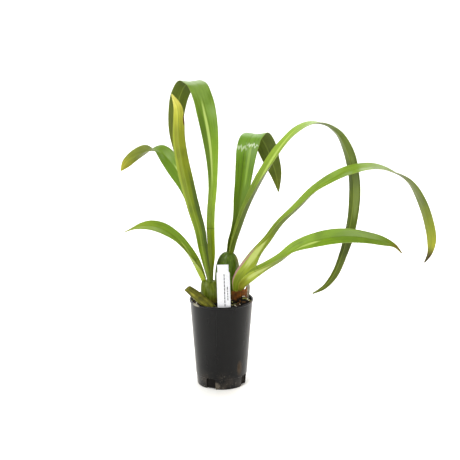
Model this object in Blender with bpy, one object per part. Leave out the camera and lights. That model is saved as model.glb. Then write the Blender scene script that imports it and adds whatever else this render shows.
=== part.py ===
# Potted orchid: three growths with eight strap leaves in a tapered black nursery pot.
# Metres, +Z up. The origin is the middle of the pot's underside. Seen from the front, +X is to the
# right and +Y points away. Sizes below are written in millimetres and multiplied by MM.
import math
import random

import bmesh
import bpy
import numpy as np
from mathutils import Matrix, Vector

MM = 0.001
GAP = 0.3 * MM                      # clearance between pieces that touch on the real plant

# Pot
POT_HEIGHT = 100.8 * MM
POT_RIM_RADIUS = 36.5 * MM          # outside of the lip
POT_FOOT_RADIUS = 28.3 * MM
POT_WALL = 1.2 * MM
POT_FLOOR = 1.5 * MM
LIP_HEIGHT = 2.0 * MM
LIP_PROUD = 0.6 * MM
FOOT_BAND_HEIGHT = 13.0 * MM        # the lowest band is set in a little and holds the drain notches
FOOT_BAND_INSET = 0.35 * MM
NOTCH_WIDTH = 11.0 * MM
NOTCH_REACH = 7.0 * MM              # how far a notch cuts in from the foot's edge
NOTCH_COUNT = 4
NOTCH_ROUNDING = 2.0 * MM
NOTCH_TURN = -25.0                  # degrees left of the front for the first notch
POT_STEPS = 56

# Potting mix
MIX_LEVEL = 97.5 * MM               # at the pot's wall
MIX_CROWN = 1.5 * MM                # how much higher its middle lies
MIX_RINGS = 11
MIX_STEPS = 44
CHUNK_SEED = 7
CHUNK_COUNT = 46
LARGE_CHUNKS = ((25.5, -12.5, 6.5, 8.5), (14, -16, 5, 3), (20, -27, 4, 2.5))   # x, y, radius, height

# Growths: x and y of the middle, half width along X, half depth along Y, in millimetres
LEFT_GROWTH = (-13.3, -7.5, 9.9, 7.5)
CENTRE_GROWTH = (5.0, 17.0, 14.1, 9.5)
RIGHT_GROWTH = (20.6, -0.9, 7.8, 8.4)
RIGHT_HOLE = (9.2, 10.0)             # the hole holds the growth and the sheath round it
LEFT_LEAN = (-0.9, 0.6)             # how far the top stands from above the foot, in millimetres
CENTRE_LEAN = (2.9, -1.5)
COLUMN_FOOT = 80.0                  # growths stand this high in the mix, as plain columns up to ...
COLUMN_TOP = 104.0
GROWTH_SIDES = 28
GROWTH_RIBS = 7                     # blunt ribs round a bulb
RIB_SHARE = 0.012

# Dry sheaths: half width, half depth, first and last bearing, height of the foot, heights of the torn edge
RIGHT_SHEATH = (8.7, 9.5, -182, 22, 92,
                (108, 111.5, 110.5, 112, 111.4, 113, 112.4, 114.5, 114, 115.5, 116, 114, 110))
LEFT_SCALE = (10.5, 8.2, 165, 285, 100.5,
              (106.5, 108.5, 105, 106, 103.2, 103.8, 102.6, 103.6, 102.4))
SHEATH_ROWS = 4
SHEATH_THICKNESS = 0.7 * MM

# Papery bract: place, turn about Z in degrees, (half width, height) outline in millimetres
BRACT_PLACE = (30.0, 7.5)
BRACT_TURN = 40
BRACT_OUTLINE = [(2.5, 90), (2.5, 101), (3.3, 105), (3.6, 109), (3.3, 112), (2.5, 115), (1.0, 117.5)]
BRACT_STRAIGHT = 100                # it bows and curls above this height
BRACT_BOW = 1.6
BRACT_CURL = 1.2
BRACT_SLOT_HALF = 2.6
BRACT_THICKNESS = 0.7 * MM
BRACT_SLOT_TOP = 130

# Old cut stem: foot, tip and (share of the length, radius) in millimetres
OLD_FOOT = (-8.0, -22.0, 94.0)
OLD_TIP = (-38.5, -22.0, 119.6)
OLD_PROFILE = ((0, 5.2), (0.2, 5.5), (0.45, 5.6), (0.7, 5.3), (0.88, 4.7), (1, 4.2))
OLD_SIDES = 16
OLD_HOLE_RADIUS = 6.3
OLD_CUT_SLANT = 1.2                 # how much farther out one side of the cut end lies

# Label: outline in millimetres from its point upwards, and the place of that point
LABEL_HALF_WIDTH = 7.3
LABEL_HALF_HEAD = 6.2
LABEL_SHOULDER = 91
LABEL_LENGTH = 100.5
LABEL_POINT = 14
LABEL_THICKNESS = 0.8 * MM
LABEL_SLOT_TOP = 90
LABEL_PLACE = (4.9, -27.4, 50.0)
LABEL_TILT = -1.7                   # degrees off upright, seen from the front

BLADE_THICKNESS = 0.75 * MM
BLADE_COLUMNS = (-1, -0.3, -0.15, 0, 0.15, 0.3, 1)   # across the blade, in half widths
BLADE_KEEL = 0.3                    # share of the half width that bends at the midrib
BLADE_CELL_LENGTH = 7.5 * MM

# Each leaf: the compass heading in degrees that it bends towards (0 = +X, 90 = +Y), and points along
# the middle of its folded blade as (x, y, z, flat width of the blade) in millimetres, then the roll
# about that line and the fold in degrees. The fold is how far each half stands up from the flat.
LEAVES = {
    "leaf_left_low": (200, [
        (-20, -5.4, 125.3, 12, 25, 76), (-23.1, -6.2, 133.2, 15.5, 28, 70),
        (-29.2, -9, 146.9, 18, 35, 52), (-39, -13, 163, 17, 42, 35), (-51, -18, 178, 16, 45, 24),
        (-63.5, -23, 187.5, 17.5, 45, 16), (-78, -28, 192.5, 14, 42, 14),
        (-91, -32, 192, 7, 35, 15), (-98, -34, 190, 3, 30, 20), (-105, -36, 187.5, 1.4, 20, 20)]),
    "leaf_front": (280, [
        (-13, -12, 125, 9.5, 12, 64), (-16.7, -14, 142.5, 11.5, 15, 56),
        (-20.4, -14, 162.3, 13.7, 15, 46), (-23.5, -14, 182, 15, 20, 35),
        (-31, -15, 210, 16, 20, 30), (-37.5, -15, 237, 17.5, 20, 28), (-43, -14, 263, 16.5, 20, 25),
        (-46, -13, 287, 15, 15, 25), (-46, -13, 309, 13, 15, 25), (-47, -14, 322, 10, 15, 25),
        (-50.5, -16, 330.5, 5, 20, 25), (-53, -18, 336, 1.4, 25, 25)]),
    "leaf_left_back": (150, [
        (-14, 0.8, 124.7, 10, 27, 62), (-18, 4.2, 142, 12, 27, 52), (-21.5, 7, 164, 13, 34, 40),
        (-27, 10, 188, 14, 39, 32), (-32.5, 13, 209, 15.5, 45, 28), (-40, 16, 228, 18, 51, 25),
        (-51, 20, 246, 21, 53, 22), (-62, 25, 260.5, 21.5, 40, 28), (-71, 31, 267.5, 20.5, 14, 40),
        (-80.5, 37, 268, 19.5, -16, 42), (-90.5, 42, 263.5, 17, -40, 28),
        (-102.5, 45, 255.5, 14.5, -50, 16), (-110.5, 46, 247.5, 10.5, -52, 12),
        (-116, 46, 240, 1.4, -52, 12)]),
    "leaf_tall_back": (100, [
        (-10.5, -6, 124.2, 3, 10, 40), (-10.8, -5, 137.9, 5.5, 10, 38),
        (-10.8, -3, 151.4, 9.3, 10, 36), (-11.5, -1, 169.5, 10.5, 10, 38),
        (-12, 1, 185.5, 11.5, 10, 40), (-11.5, 2, 201, 11.5, 12, 42), (-9.5, 5, 226, 12, 15, 40),
        (-9.5, 8, 254, 15, 15, 36), (-11.5, 12, 281, 19.5, 15, 26), (-16, 17, 309, 22.5, 8, 14),
        (-21, 24, 328.5, 23, -3, 4), (-27.5, 33, 341, 23.5, -2, 2), (-37, 43, 343, 23, 2, 2),
        (-46.5, 52, 328.5, 22, 1, 6), (-51.5, 57, 307, 19.5, -5, 12), (-53, 60, 283, 16, -10, 14),
        (-51, 61, 262, 10.5, -10, 14), (-50, 62, 243, 1.4, -10, 14)]),
    "leaf_centre_back": (70, [
        (9.4, 17.6, 152.9, 9, -15, 55), (10.9, 18.2, 161.2, 11.5, -18, 52),
        (14.9, 18, 176.6, 11.3, -20, 46), (19, 18.5, 194, 14, -20, 38),
        (21.5, 19.5, 212.5, 17.5, -20, 30), (24.5, 21, 232, 20, -20, 22),
        (27, 24, 253, 22.5, -18, 14), (29.5, 29, 268.5, 25, -9, 5), (34, 37, 280.5, 25.5, -3, 1),
        (41.5, 46, 283, 25, 1, 1), (50, 52, 271, 24, 16, 6), (57.5, 57, 252, 20.5, 25, 12),
        (63.5, 60, 234, 14, 20, 12), (67, 62, 212, 1.4, 20, 12)]),
    "leaf_centre_arch": (350, [
        (11.3, 12.8, 152.5, 13, -15, 70), (14.1, 11, 165.3, 15, -15, 66),
        (18.9, 8, 181.3, 17, -18, 62), (27, 3, 205, 17.5, -22, 56),
        (44.5, -7, 243.5, 19.5, -30, 43), (55.5, -14, 263.5, 18.5, -34, 32),
        (67.5, -20, 282, 16, -32, 22), (80, -24, 296.5, 14, -30, 16),
        (93.5, -27, 304.5, 14, -14, 10), (107, -29.5, 306, 15, 8, 10),
        (125, -31, 296.5, 16.5, 33, 12), (136.5, -32, 277, 16.5, 50, 14),
        (143.5, -32, 250, 15.5, 60, 16), (145, -31, 219, 14.5, 65, 18),
        (141.5, -30, 188, 13.5, 60, 18), (134, -28, 158, 11, 60, 18),
        (124.5, -27, 134, 8.5, 60, 18), (114.5, -26.5, 121.5, 5.5, 60, 18),
        (102, -26, 114, 1.4, 60, 18)]),
    "leaf_right_long": (345, [
        (17.2, 3.2, 110.8, 16, 0, 82), (18.3, 2.8, 118.4, 26, 0, 84),
        (22.6, 2.2, 127.4, 34, -3, 84), (30.5, 1, 139.5, 36, -5, 83), (40, -2.5, 156, 25, -8, 78),
        (51, -8, 171.5, 20, -12, 70), (65.5, -17, 193.5, 16, -22, 58),
        (85, -26, 215, 15.5, -30, 50), (101.5, -34, 234, 15, -38, 42), (120, -41, 248, 15, -42, 28),
        (139, -47, 258, 17, -32, 14), (162, -52, 262.5, 17, -13, 12), (181, -54, 258.5, 15, 4, 12),
        (199.5, -55, 248, 14, 34, 12), (213.5, -56, 227, 14.5, 50, 14),
        (222.5, -56, 203, 14, 60, 14), (226.5, -56, 180, 11.5, 60, 14),
        (225, -56, 167.5, 6, 60, 14), (220, -56, 158, 1.4, 55, 14)]),
    "leaf_right_low": (335, [
        (22.3, -4.4, 112, 11.5, 0, 78), (23.7, -6, 118.6, 16.5, -6, 79),
        (28.4, -9.8, 125.4, 23, -12, 78), (37, -14, 134, 25, -15, 73),
        (48.5, -19, 142.5, 19.5, -22, 66), (64, -24.5, 153.5, 18.5, -32, 56),
        (80, -33, 168, 18, -45, 42), (99, -41, 178, 19, -54, 22), (119, -50, 185, 19, -55, 14),
        (139, -59, 188.5, 17, -55, 12), (157, -66, 188, 14, -50, 12),
        (173, -72, 185.5, 11, -45, 12), (185.5, -75, 181, 4.5, -35, 14),
        (192, -77, 174, 1.4, -25, 14)]),
}
LEAF_COLOURS = {
    "leaf_left_low": (0.25, 0.38, 0.03),
    "leaf_front": (0.16, 0.22, 0.02),
    "leaf_left_back": (0.20, 0.33, 0.02),
    "leaf_tall_back": (0.19, 0.32, 0.03),
    "leaf_centre_back": (0.14, 0.27, 0.02),
    "leaf_centre_arch": (0.17, 0.26, 0.03),
    "leaf_right_long": (0.22, 0.33, 0.03),
    "leaf_right_low": (0.22, 0.36, 0.03),
}


def clear_scene():
    for obj in list(bpy.data.objects):
        bpy.data.objects.remove(obj)


def material(name, colour, roughness):
    made = bpy.data.materials.new(name)
    made.use_nodes = True
    shader = made.node_tree.nodes["Principled BSDF"]
    shader.inputs["Base Color"].default_value = (*colour, 1)
    shader.inputs["Roughness"].default_value = roughness
    return made


def add_object(name, bm, made=None, smooth_angle=40.0):
    """A new object from the bmesh, shaded smooth below the given angle."""
    bmesh.ops.recalc_face_normals(bm, faces=bm.faces[:])
    mesh = bpy.data.meshes.new(name)
    bm.to_mesh(mesh)
    bm.free()
    mesh.shade_smooth()
    mesh.set_sharp_from_angle(angle=math.radians(smooth_angle))
    obj = bpy.data.objects.new(name, mesh)
    bpy.context.scene.collection.objects.link(obj)
    if made:
        mesh.materials.append(made)
    return obj


def make_cutter(obj, holes):
    """Hides a tool solid from the render and keeps it in the collection of holes."""
    obj.hide_render = True
    obj.display_type = "WIRE"
    bpy.context.scene.collection.objects.unlink(obj)
    holes.objects.link(obj)


def thicken(obj, thickness):
    """Gives a single sheet its thickness, half to each side."""
    shell = obj.modifiers.new("thickness", "SOLIDIFY")
    shell.thickness = thickness
    shell.offset = 0


def turned(profile, steps):
    """A bmesh turned about Z from (radius, height) points that start and end on the axis."""
    bm = bmesh.new()
    verts = [bm.verts.new((radius, 0, height)) for radius, height in profile]
    edges = [bm.edges.new(pair) for pair in zip(verts, verts[1:])]
    bmesh.ops.spin(bm, geom=verts + edges, cent=(0, 0, 0), axis=(0, 0, 1), angle=math.tau,
                   steps=steps, use_merge=True)
    bmesh.ops.remove_doubles(bm, verts=bm.verts[:], dist=1e-6)
    return bm


def loft(rings):
    """A closed bmesh through rings of points, all with the same count, with a flat cap at each end."""
    bm = bmesh.new()
    rows = [[bm.verts.new(point) for point in ring] for ring in rings]
    count = len(rows[0])
    for low, high in zip(rows, rows[1:]):
        for i in range(count):
            j = (i + 1) % count
            bm.faces.new((low[i], low[j], high[j], high[i]))
    bm.faces.new(rows[0])
    bm.faces.new(rows[-1])
    return bm


def pot_outer(height):
    """Outside radius of the pot's plain wall at a height."""
    top = POT_RIM_RADIUS - LIP_PROUD
    return POT_FOOT_RADIUS + (top - POT_FOOT_RADIUS) * height / POT_HEIGHT


def pot_inner(height):
    return pot_outer(height) - POT_WALL


def make_pot():
    lip_base = POT_HEIGHT - LIP_HEIGHT
    half_lip = LIP_HEIGHT / 2
    edge = 1.0 * MM
    step = 0.5 * MM
    profile = [
        (0, 0),
        (POT_FOOT_RADIUS - FOOT_BAND_INSET - edge, 0),
        (POT_FOOT_RADIUS - FOOT_BAND_INSET, edge),
        (pot_outer(FOOT_BAND_HEIGHT) - FOOT_BAND_INSET, FOOT_BAND_HEIGHT - step),
        (pot_outer(FOOT_BAND_HEIGHT), FOOT_BAND_HEIGHT),
        (pot_outer(lip_base), lip_base - step),
        (POT_RIM_RADIUS - 0.2 * MM, lip_base),
        (POT_RIM_RADIUS, lip_base + half_lip),
        (POT_RIM_RADIUS - 0.3 * MM, POT_HEIGHT - 0.2 * MM),
        (POT_RIM_RADIUS - 0.9 * MM, POT_HEIGHT),
        (pot_inner(POT_HEIGHT), POT_HEIGHT - 0.4 * MM),
        (pot_inner(POT_FLOOR), POT_FLOOR),
        (0, POT_FLOOR),
    ]
    plastic = material("black_polypropylene", (0.008, 0.008, 0.009), 0.25)
    return add_object("pot", turned(profile, POT_STEPS), plastic, 35)


def cut_drain_notches(pot, holes):
    """Cuts the notches through the corner between the wall and the floor."""
    inner_end = POT_FOOT_RADIUS - NOTCH_REACH
    outer_end = POT_FOOT_RADIUS + 4 * MM
    below = -2 * MM
    for index in range(NOTCH_COUNT):
        bm = bmesh.new()
        bmesh.ops.create_cube(bm, size=1)
        size = Vector((NOTCH_WIDTH, outer_end - inner_end, FOOT_BAND_HEIGHT - below))
        middle = Vector((0, -(inner_end + outer_end) / 2, (FOOT_BAND_HEIGHT + below) / 2))
        bmesh.ops.scale(bm, vec=size, verts=bm.verts[:])
        bmesh.ops.translate(bm, vec=middle, verts=bm.verts[:])
        top_edges = [e for e in bm.edges
                     if all(v.co.z > FOOT_BAND_HEIGHT - 1e-6 for v in e.verts)
                     and abs(e.verts[0].co.x - e.verts[1].co.x) < 1e-6]
        bmesh.ops.bevel(bm, geom=top_edges, offset=NOTCH_ROUNDING, segments=3, affect="EDGES", profile=0.5)
        turn = math.radians(NOTCH_TURN + index * 360 / NOTCH_COUNT)
        bmesh.ops.rotate(bm, cent=(0, 0, 0), matrix=Matrix.Rotation(turn, 3, "Z"), verts=bm.verts[:])
        make_cutter(add_object(f"notch_tool_{index}", bm), holes)
    cut = pot.modifiers.new("drain notches", "BOOLEAN")
    cut.operation = "DIFFERENCE"
    cut.solver = "EXACT"
    cut.operand_type = "COLLECTION"
    cut.collection = holes


def chunk_places():
    """Seeded places of bark and pumice pieces in the mix: x, y, radius and height."""
    rng = random.Random(CHUNK_SEED)
    chunks = [tuple(size * MM for size in chunk) for chunk in LARGE_CHUNKS]
    reach = pot_inner(MIX_LEVEL) - 4 * MM
    for _ in range(CHUNK_COUNT):
        away = reach * math.sqrt(rng.random())
        turn = rng.uniform(0, math.tau)
        radius = rng.uniform(3, 6) * MM
        height = rng.uniform(0.8, 3.2) * MM
        chunks.append((away * math.cos(turn), away * math.sin(turn), radius, height))
    return chunks


def mix_height(x, y, chunks):
    away = math.hypot(x, y) / pot_inner(MIX_LEVEL)
    level = MIX_LEVEL + MIX_CROWN * (1 - away * away)
    bumps = 0
    for cx, cy, radius, height in chunks:
        near = math.hypot(x - cx, y - cy) / radius
        if near < 1:
            bumps = max(bumps, height * (1 - near ** 3))
    return level + bumps


def make_mix():
    """The potting mix fills the pot, and its top carries the chunks as relief."""
    chunks = chunk_places()
    bottom = POT_FLOOR + GAP
    rings = []
    for height in (bottom, FOOT_BAND_HEIGHT + 1 * MM, MIX_LEVEL - 1 * MM):
        radius = pot_inner(height) - GAP
        rings.append([(radius * math.cos(math.tau * i / MIX_STEPS),
                       radius * math.sin(math.tau * i / MIX_STEPS), height)
                      for i in range(MIX_STEPS)])
    edge = pot_inner(MIX_LEVEL) - GAP
    for ring in range(MIX_RINGS):
        radius = edge * (1 - ring / MIX_RINGS)
        points = []
        for i in range(MIX_STEPS):
            x = radius * math.cos(math.tau * i / MIX_STEPS)
            y = radius * math.sin(math.tau * i / MIX_STEPS)
            points.append((x, y, mix_height(x, y, chunks)))
        rings.append(points)
    bark = material("bark_potting_mix", (0.03, 0.022, 0.012), 0.9)
    return add_object("potting_mix", loft(rings), bark, 60)


def stand_hole(name, growth, column_share, holes):
    """An oval tool that leaves a plain hole in the mix, wider than the growth's column by the gap."""
    x, y, half_width, half_depth = growth
    reach_x = half_width * column_share * MM + GAP
    reach_y = half_depth * column_share * MM + GAP
    rings = []
    for height in (COLUMN_FOOT * MM - GAP, POT_HEIGHT * 1.3):
        rings.append([(x * MM + reach_x * math.cos(math.tau * i / GROWTH_SIDES),
                       y * MM + reach_y * math.sin(math.tau * i / GROWTH_SIDES), height)
                      for i in range(GROWTH_SIDES)])
    make_cutter(add_object(name, loft(rings)), holes)


def make_growth(name, growth, column_share, crown, made, lean, ribs):
    """A growth on its column: crown holds (height, share of the full width) points above the mix."""
    x, y, half_width, half_depth = growth
    profile = [(COLUMN_FOOT, column_share), (COLUMN_TOP, column_share)] + crown
    top = profile[-1][0]
    rings = []
    for height, share in profile:
        above = max(0.0, height - COLUMN_TOP) / (top - COLUMN_TOP)
        ring = []
        for i in range(GROWTH_SIDES):
            turn = math.tau * i / GROWTH_SIDES
            swell = share * (1 + ribs * min(1, 3 * above) * math.cos(GROWTH_RIBS * turn))
            ring.append(((x + lean[0] * above + half_width * swell * math.cos(turn)) * MM,
                         (y + lean[1] * above + half_depth * swell * math.sin(turn)) * MM,
                         height * MM))
        rings.append(ring)
    add_object(name, loft(rings), made, 60)


def make_left_bulb(holes):
    """The short front growth: four leaves stand on its flat joint."""
    green = material("bulb_olive_green", (0.13, 0.22, 0.015), 0.45)
    crown = [(108, 0.985), (112, 1.0), (116, 0.97), (119, 0.92), (121.5, 0.87), (123, 0.83), (123.8, 0.8)]
    stand_hole("left_bulb_hole", LEFT_GROWTH, 0.93, holes)
    make_growth("pseudobulb_left", LEFT_GROWTH, 0.93, crown, green, LEFT_LEAN, RIB_SHARE)


def make_centre_bulb(holes):
    """The tall ovoid growth behind it, round shouldered, with two leaves."""
    green = material("bulb_dark_green", (0.05, 0.12, 0.01), 0.4)
    crown = [(107, 0.9), (115, 0.975), (123, 1.0), (131, 0.985), (137, 0.93), (142, 0.84), (146, 0.71),
             (149, 0.55), (150.8, 0.42), (151.8, 0.33)]
    stand_hole("centre_bulb_hole", CENTRE_GROWTH, 0.82, holes)
    make_growth("pseudobulb_centre", CENTRE_GROWTH, 0.82, crown, green, CENTRE_LEAN, RIB_SHARE)


def make_right_growth(holes):
    """The young growth at the right, whose two leaves still clasp it."""
    green = material("growth_yellow_green", (0.2, 0.24, 0.03), 0.5)
    crown = [(106, 0.98), (108.5, 0.95), (109.5, 0.9)]
    stand_hole("right_growth_hole", (*RIGHT_GROWTH[:2], *RIGHT_HOLE), 1.0, holes)
    make_growth("growth_right", RIGHT_GROWTH, 0.95, crown, green, (0, 0), 0)


def make_sheath(name, growth, shape, made):
    """A dry scale wrapped round part of a growth, from one bearing to another, with a torn upper edge."""
    x, y = growth[:2]
    half_width, half_depth, first, last, low, tops = shape
    bm = bmesh.new()
    grid = []
    for column, top in enumerate(tops):
        turn = math.radians(first + (last - first) * column / (len(tops) - 1))
        line = []
        for row in range(SHEATH_ROWS + 1):
            height = low + (top - low) * row / SHEATH_ROWS
            line.append(bm.verts.new(((x + half_width * math.cos(turn)) * MM,
                                      (y + half_depth * math.sin(turn)) * MM, height * MM)))
        grid.append(line)
    for left, right in zip(grid, grid[1:]):
        for row in range(SHEATH_ROWS):
            bm.faces.new((left[row], right[row], right[row + 1], left[row + 1]))
    bmesh.ops.triangulate(bm, faces=bm.faces[:])
    thicken(add_object(name, bm, made, 80), SHEATH_THICKNESS)


def make_sheaths():
    rust = material("rust_dry_sheath", (0.3, 0.09, 0.015), 0.8)
    brown = material("brown_dry_scale", (0.14, 0.07, 0.02), 0.85)
    make_sheath("sheath_right", RIGHT_GROWTH, RIGHT_SHEATH, rust)
    make_sheath("scale_left", LEFT_GROWTH, LEFT_SCALE, brown)


def blade_slot(name, holes, low, high, half_width, half_thick, place):
    """A plain slot tool for a flat foot, in the foot's own frame."""
    bm = bmesh.new()
    bmesh.ops.create_cube(bm, size=1)
    bmesh.ops.scale(bm, vec=(2 * (half_width + GAP), 2 * (half_thick + GAP), high - low + GAP),
                    verts=bm.verts[:])
    bmesh.ops.translate(bm, vec=(0, 0, (high + low - GAP) / 2), verts=bm.verts[:])
    bmesh.ops.transform(bm, matrix=place, verts=bm.verts[:])
    make_cutter(add_object(name, bm), holes)


def make_papery_bract(holes):
    """A thin dry bract that stands up behind the right growth."""
    paper = material("papery_bract", (0.5, 0.45, 0.35), 0.7)
    x, y = BRACT_PLACE
    place = Matrix.Translation((x * MM, y * MM, 0)) @ Matrix.Rotation(math.radians(BRACT_TURN), 4, "Z")
    free_height = BRACT_OUTLINE[-1][1] - BRACT_STRAIGHT
    bm = bmesh.new()
    rows = []
    for half_width, height in BRACT_OUTLINE:
        above = max(0.0, height - BRACT_STRAIGHT) / free_height
        row = []
        for step in (-1, -0.5, 0, 0.5, 1):
            bow = BRACT_BOW * above * (1 - step * step) - BRACT_CURL * above * above
            row.append(bm.verts.new((half_width * step * MM, bow * MM, height * MM)))
        rows.append(row)
    for low, high in zip(rows, rows[1:]):
        for i in range(len(low) - 1):
            bm.faces.new((low[i], low[i + 1], high[i + 1], high[i]))
    bmesh.ops.triangulate(bm, faces=bm.faces[:])
    bmesh.ops.transform(bm, matrix=place, verts=bm.verts[:])
    thicken(add_object("bract_papery", bm, paper, 80), BRACT_THICKNESS)
    blade_slot("bract_slot", holes, BRACT_OUTLINE[0][1] * MM, BRACT_SLOT_TOP * MM,
               BRACT_SLOT_HALF * MM, BRACT_THICKNESS / 2 + 0.2 * MM, place)


def ring_about(middle, across, up, radii):
    """Points round a place, one for each radius, in the plane of the two directions."""
    step = math.tau / len(radii)
    return [middle + (across * math.cos(step * i) + up * math.sin(step * i)) * radius
            for i, radius in enumerate(radii)]


def make_old_stem(holes):
    """The cut stump of an old growth, leaning out over the rim at the left."""
    foot = Vector(OLD_FOOT) * MM
    tip = Vector(OLD_TIP) * MM
    axis = (tip - foot).normalized()
    across = axis.cross(Vector((0, 1, 0))).normalized()
    up = axis.cross(across)
    rings = []
    for share, radius in OLD_PROFILE:
        radii = [radius * MM * (1 + 0.05 * math.cos(3 * math.tau * i / OLD_SIDES + 4 * share))
                 for i in range(OLD_SIDES)]
        rings.append(ring_about(foot.lerp(tip, share), across, up, radii))
    for i, point in enumerate(rings[-1]):
        point += axis * OLD_CUT_SLANT * MM * math.cos(math.tau * i / OLD_SIDES)
    hole_radii = [OLD_HOLE_RADIUS * MM] * OLD_SIDES
    hole = [ring_about(foot.lerp(tip, share), across, up, hole_radii) for share in (-0.02, 1.1)]
    make_cutter(add_object("old_stem_hole", loft(hole)), holes)
    fibre = material("old_stem_olive_brown", (0.16, 0.13, 0.03), 0.8)
    add_object("old_stem", loft(rings), fibre, 60)


def make_label(holes):
    """The plant label: a flat strip with a narrower head, leaning like the pot's wall."""
    right = [(LABEL_HALF_WIDTH, LABEL_POINT), (LABEL_HALF_WIDTH, LABEL_SHOULDER),
             (LABEL_HALF_HEAD, LABEL_SHOULDER + 1), (LABEL_HALF_HEAD, LABEL_LENGTH)]
    outline = [(0, 0)] + right + [(-x, z) for x, z in reversed(right)]
    bm = bmesh.new()
    face = bm.faces.new([bm.verts.new((x * MM, -LABEL_THICKNESS / 2, z * MM)) for x, z in outline])
    pushed = bmesh.ops.extrude_face_region(bm, geom=[face])
    verts = [item for item in pushed["geom"] if isinstance(item, bmesh.types.BMVert)]
    bmesh.ops.translate(bm, vec=(0, LABEL_THICKNESS, 0), verts=verts)
    bmesh.ops.recalc_face_normals(bm, faces=bm.faces[:])
    wall_lean = math.atan((POT_RIM_RADIUS - POT_FOOT_RADIUS) / POT_HEIGHT)
    place = (Matrix.Translation(Vector(LABEL_PLACE) * MM) @ Matrix.Rotation(wall_lean, 4, "X")
             @ Matrix.Rotation(math.radians(LABEL_TILT), 4, "Y"))
    bmesh.ops.transform(bm, matrix=place, verts=bm.verts[:])
    plastic = material("white_label_plastic", (0.75, 0.76, 0.76), 0.5)
    add_object("label", bm, plastic, 30)
    blade_slot("label_slot", holes, 0, LABEL_SLOT_TOP * MM, LABEL_HALF_WIDTH * MM, LABEL_THICKNESS / 2, place)


def smooth_rows(rows, count):
    """Even steps along a smooth curve through the rows, with every column interpolated alike."""
    rows = np.array(rows, float)
    lengths = np.linalg.norm(np.diff(rows[:, :3], axis=0), axis=1)
    at = np.concatenate([[0], np.cumsum(lengths)])
    slopes = np.empty_like(rows)
    steps = np.diff(rows, axis=0) / lengths[:, None]
    slopes[0] = steps[0]
    slopes[-1] = steps[-1]
    before = lengths[:-1, None]
    after = lengths[1:, None]
    slopes[1:-1] = (steps[:-1] * after + steps[1:] * before) / (before + after)
    out = []
    for place in np.linspace(0, at[-1], count):
        i = min(int(np.searchsorted(at, place, side="right")) - 1, len(lengths) - 1)
        t = (place - at[i]) / lengths[i]
        out.append((2 * t**3 - 3 * t**2 + 1) * rows[i]
                   + (t**3 - 2 * t**2 + t) * lengths[i] * slopes[i]
                   + (3 * t**2 - 2 * t**3) * rows[i + 1]
                   + (t**3 - t**2) * lengths[i] * slopes[i + 1])
    return np.array(out)


def blade_section(across, fold):
    """A place across the folded blade, and the height of its margins, in half widths."""
    bend = math.radians(fold)
    radius = BLADE_KEEL / bend
    rim = radius * (1 - math.cos(bend)) + (1 - BLADE_KEEL) * math.sin(bend)
    away = abs(across)
    flat = max(0.0, away - BLADE_KEEL)
    turn = bend * min(away, BLADE_KEEL) / BLADE_KEEL
    out = radius * math.sin(turn) + flat * math.cos(bend)
    rise = radius * (1 - math.cos(turn)) + flat * math.sin(bend)
    return math.copysign(out, across), rise, rim


def make_leaf(name, heading, points):
    """A strap blade folded along its midrib: sharply at the foot, and shallow farther out."""
    length = sum((Vector(a[:3]) - Vector(b[:3])).length for a, b in zip(points, points[1:])) * MM
    cells = round(length / BLADE_CELL_LENGTH)
    rows = smooth_rows(points, cells + 1)
    tangents = np.gradient(rows[:, :3], axis=0)
    bearing = math.radians(heading)
    level = Vector((-math.sin(bearing), math.cos(bearing), 0))
    last = len(BLADE_COLUMNS) - 1
    bm = bmesh.new()
    bmesh.ops.create_grid(bm, x_segments=cells, y_segments=last, size=1)
    for vert in bm.verts:
        station = round((vert.co.x + 1) / 2 * cells)
        across = BLADE_COLUMNS[round((vert.co.y + 1) / 2 * last)]
        x, y, z, width, roll, fold = rows[station]
        tangent = Vector(tangents[station]).normalized()
        side = (level - level.dot(tangent) * tangent).normalized()
        face = tangent.cross(side)
        turn = math.radians(roll)
        side, face = (side * math.cos(turn) - face * math.sin(turn),
                      face * math.cos(turn) + side * math.sin(turn))
        out, rise, rim = blade_section(across, fold)
        vert.co = (Vector((x, y, z)) + (side * out + face * (rise - rim / 2)) * width / 2) * MM
    bmesh.ops.triangulate(bm, faces=bm.faces[:], quad_method="FIXED")
    green = material(name + "_green", LEAF_COLOURS[name], 0.45)
    thicken(add_object(name, bm, green, 80), BLADE_THICKNESS)


def build():
    clear_scene()
    pot_tools = bpy.data.collections.new("pot tools")
    mix_tools = bpy.data.collections.new("mix tools")
    for tools in (pot_tools, mix_tools):
        bpy.context.scene.collection.children.link(tools)
        tools.hide_render = True
    pot = make_pot()
    cut_drain_notches(pot, pot_tools)
    mix = make_mix()
    make_left_bulb(mix_tools)
    make_centre_bulb(mix_tools)
    make_right_growth(mix_tools)
    make_sheaths()
    make_papery_bract(mix_tools)
    make_old_stem(mix_tools)
    make_label(mix_tools)
    for name, (heading, points) in LEAVES.items():
        make_leaf(name, heading, points)
    cut = mix.modifiers.new("holes for the growths", "BOOLEAN")
    cut.operation = "DIFFERENCE"
    cut.solver = "EXACT"
    cut.operand_type = "COLLECTION"
    cut.collection = mix_tools


build()
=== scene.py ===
# Potted orchid, dressed over its CAD frame. Metres, +Z up, the front of the pot faces -Y.
import math
import random

import bpy
import numpy as np
from mathutils import Matrix, Vector, noise


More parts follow.
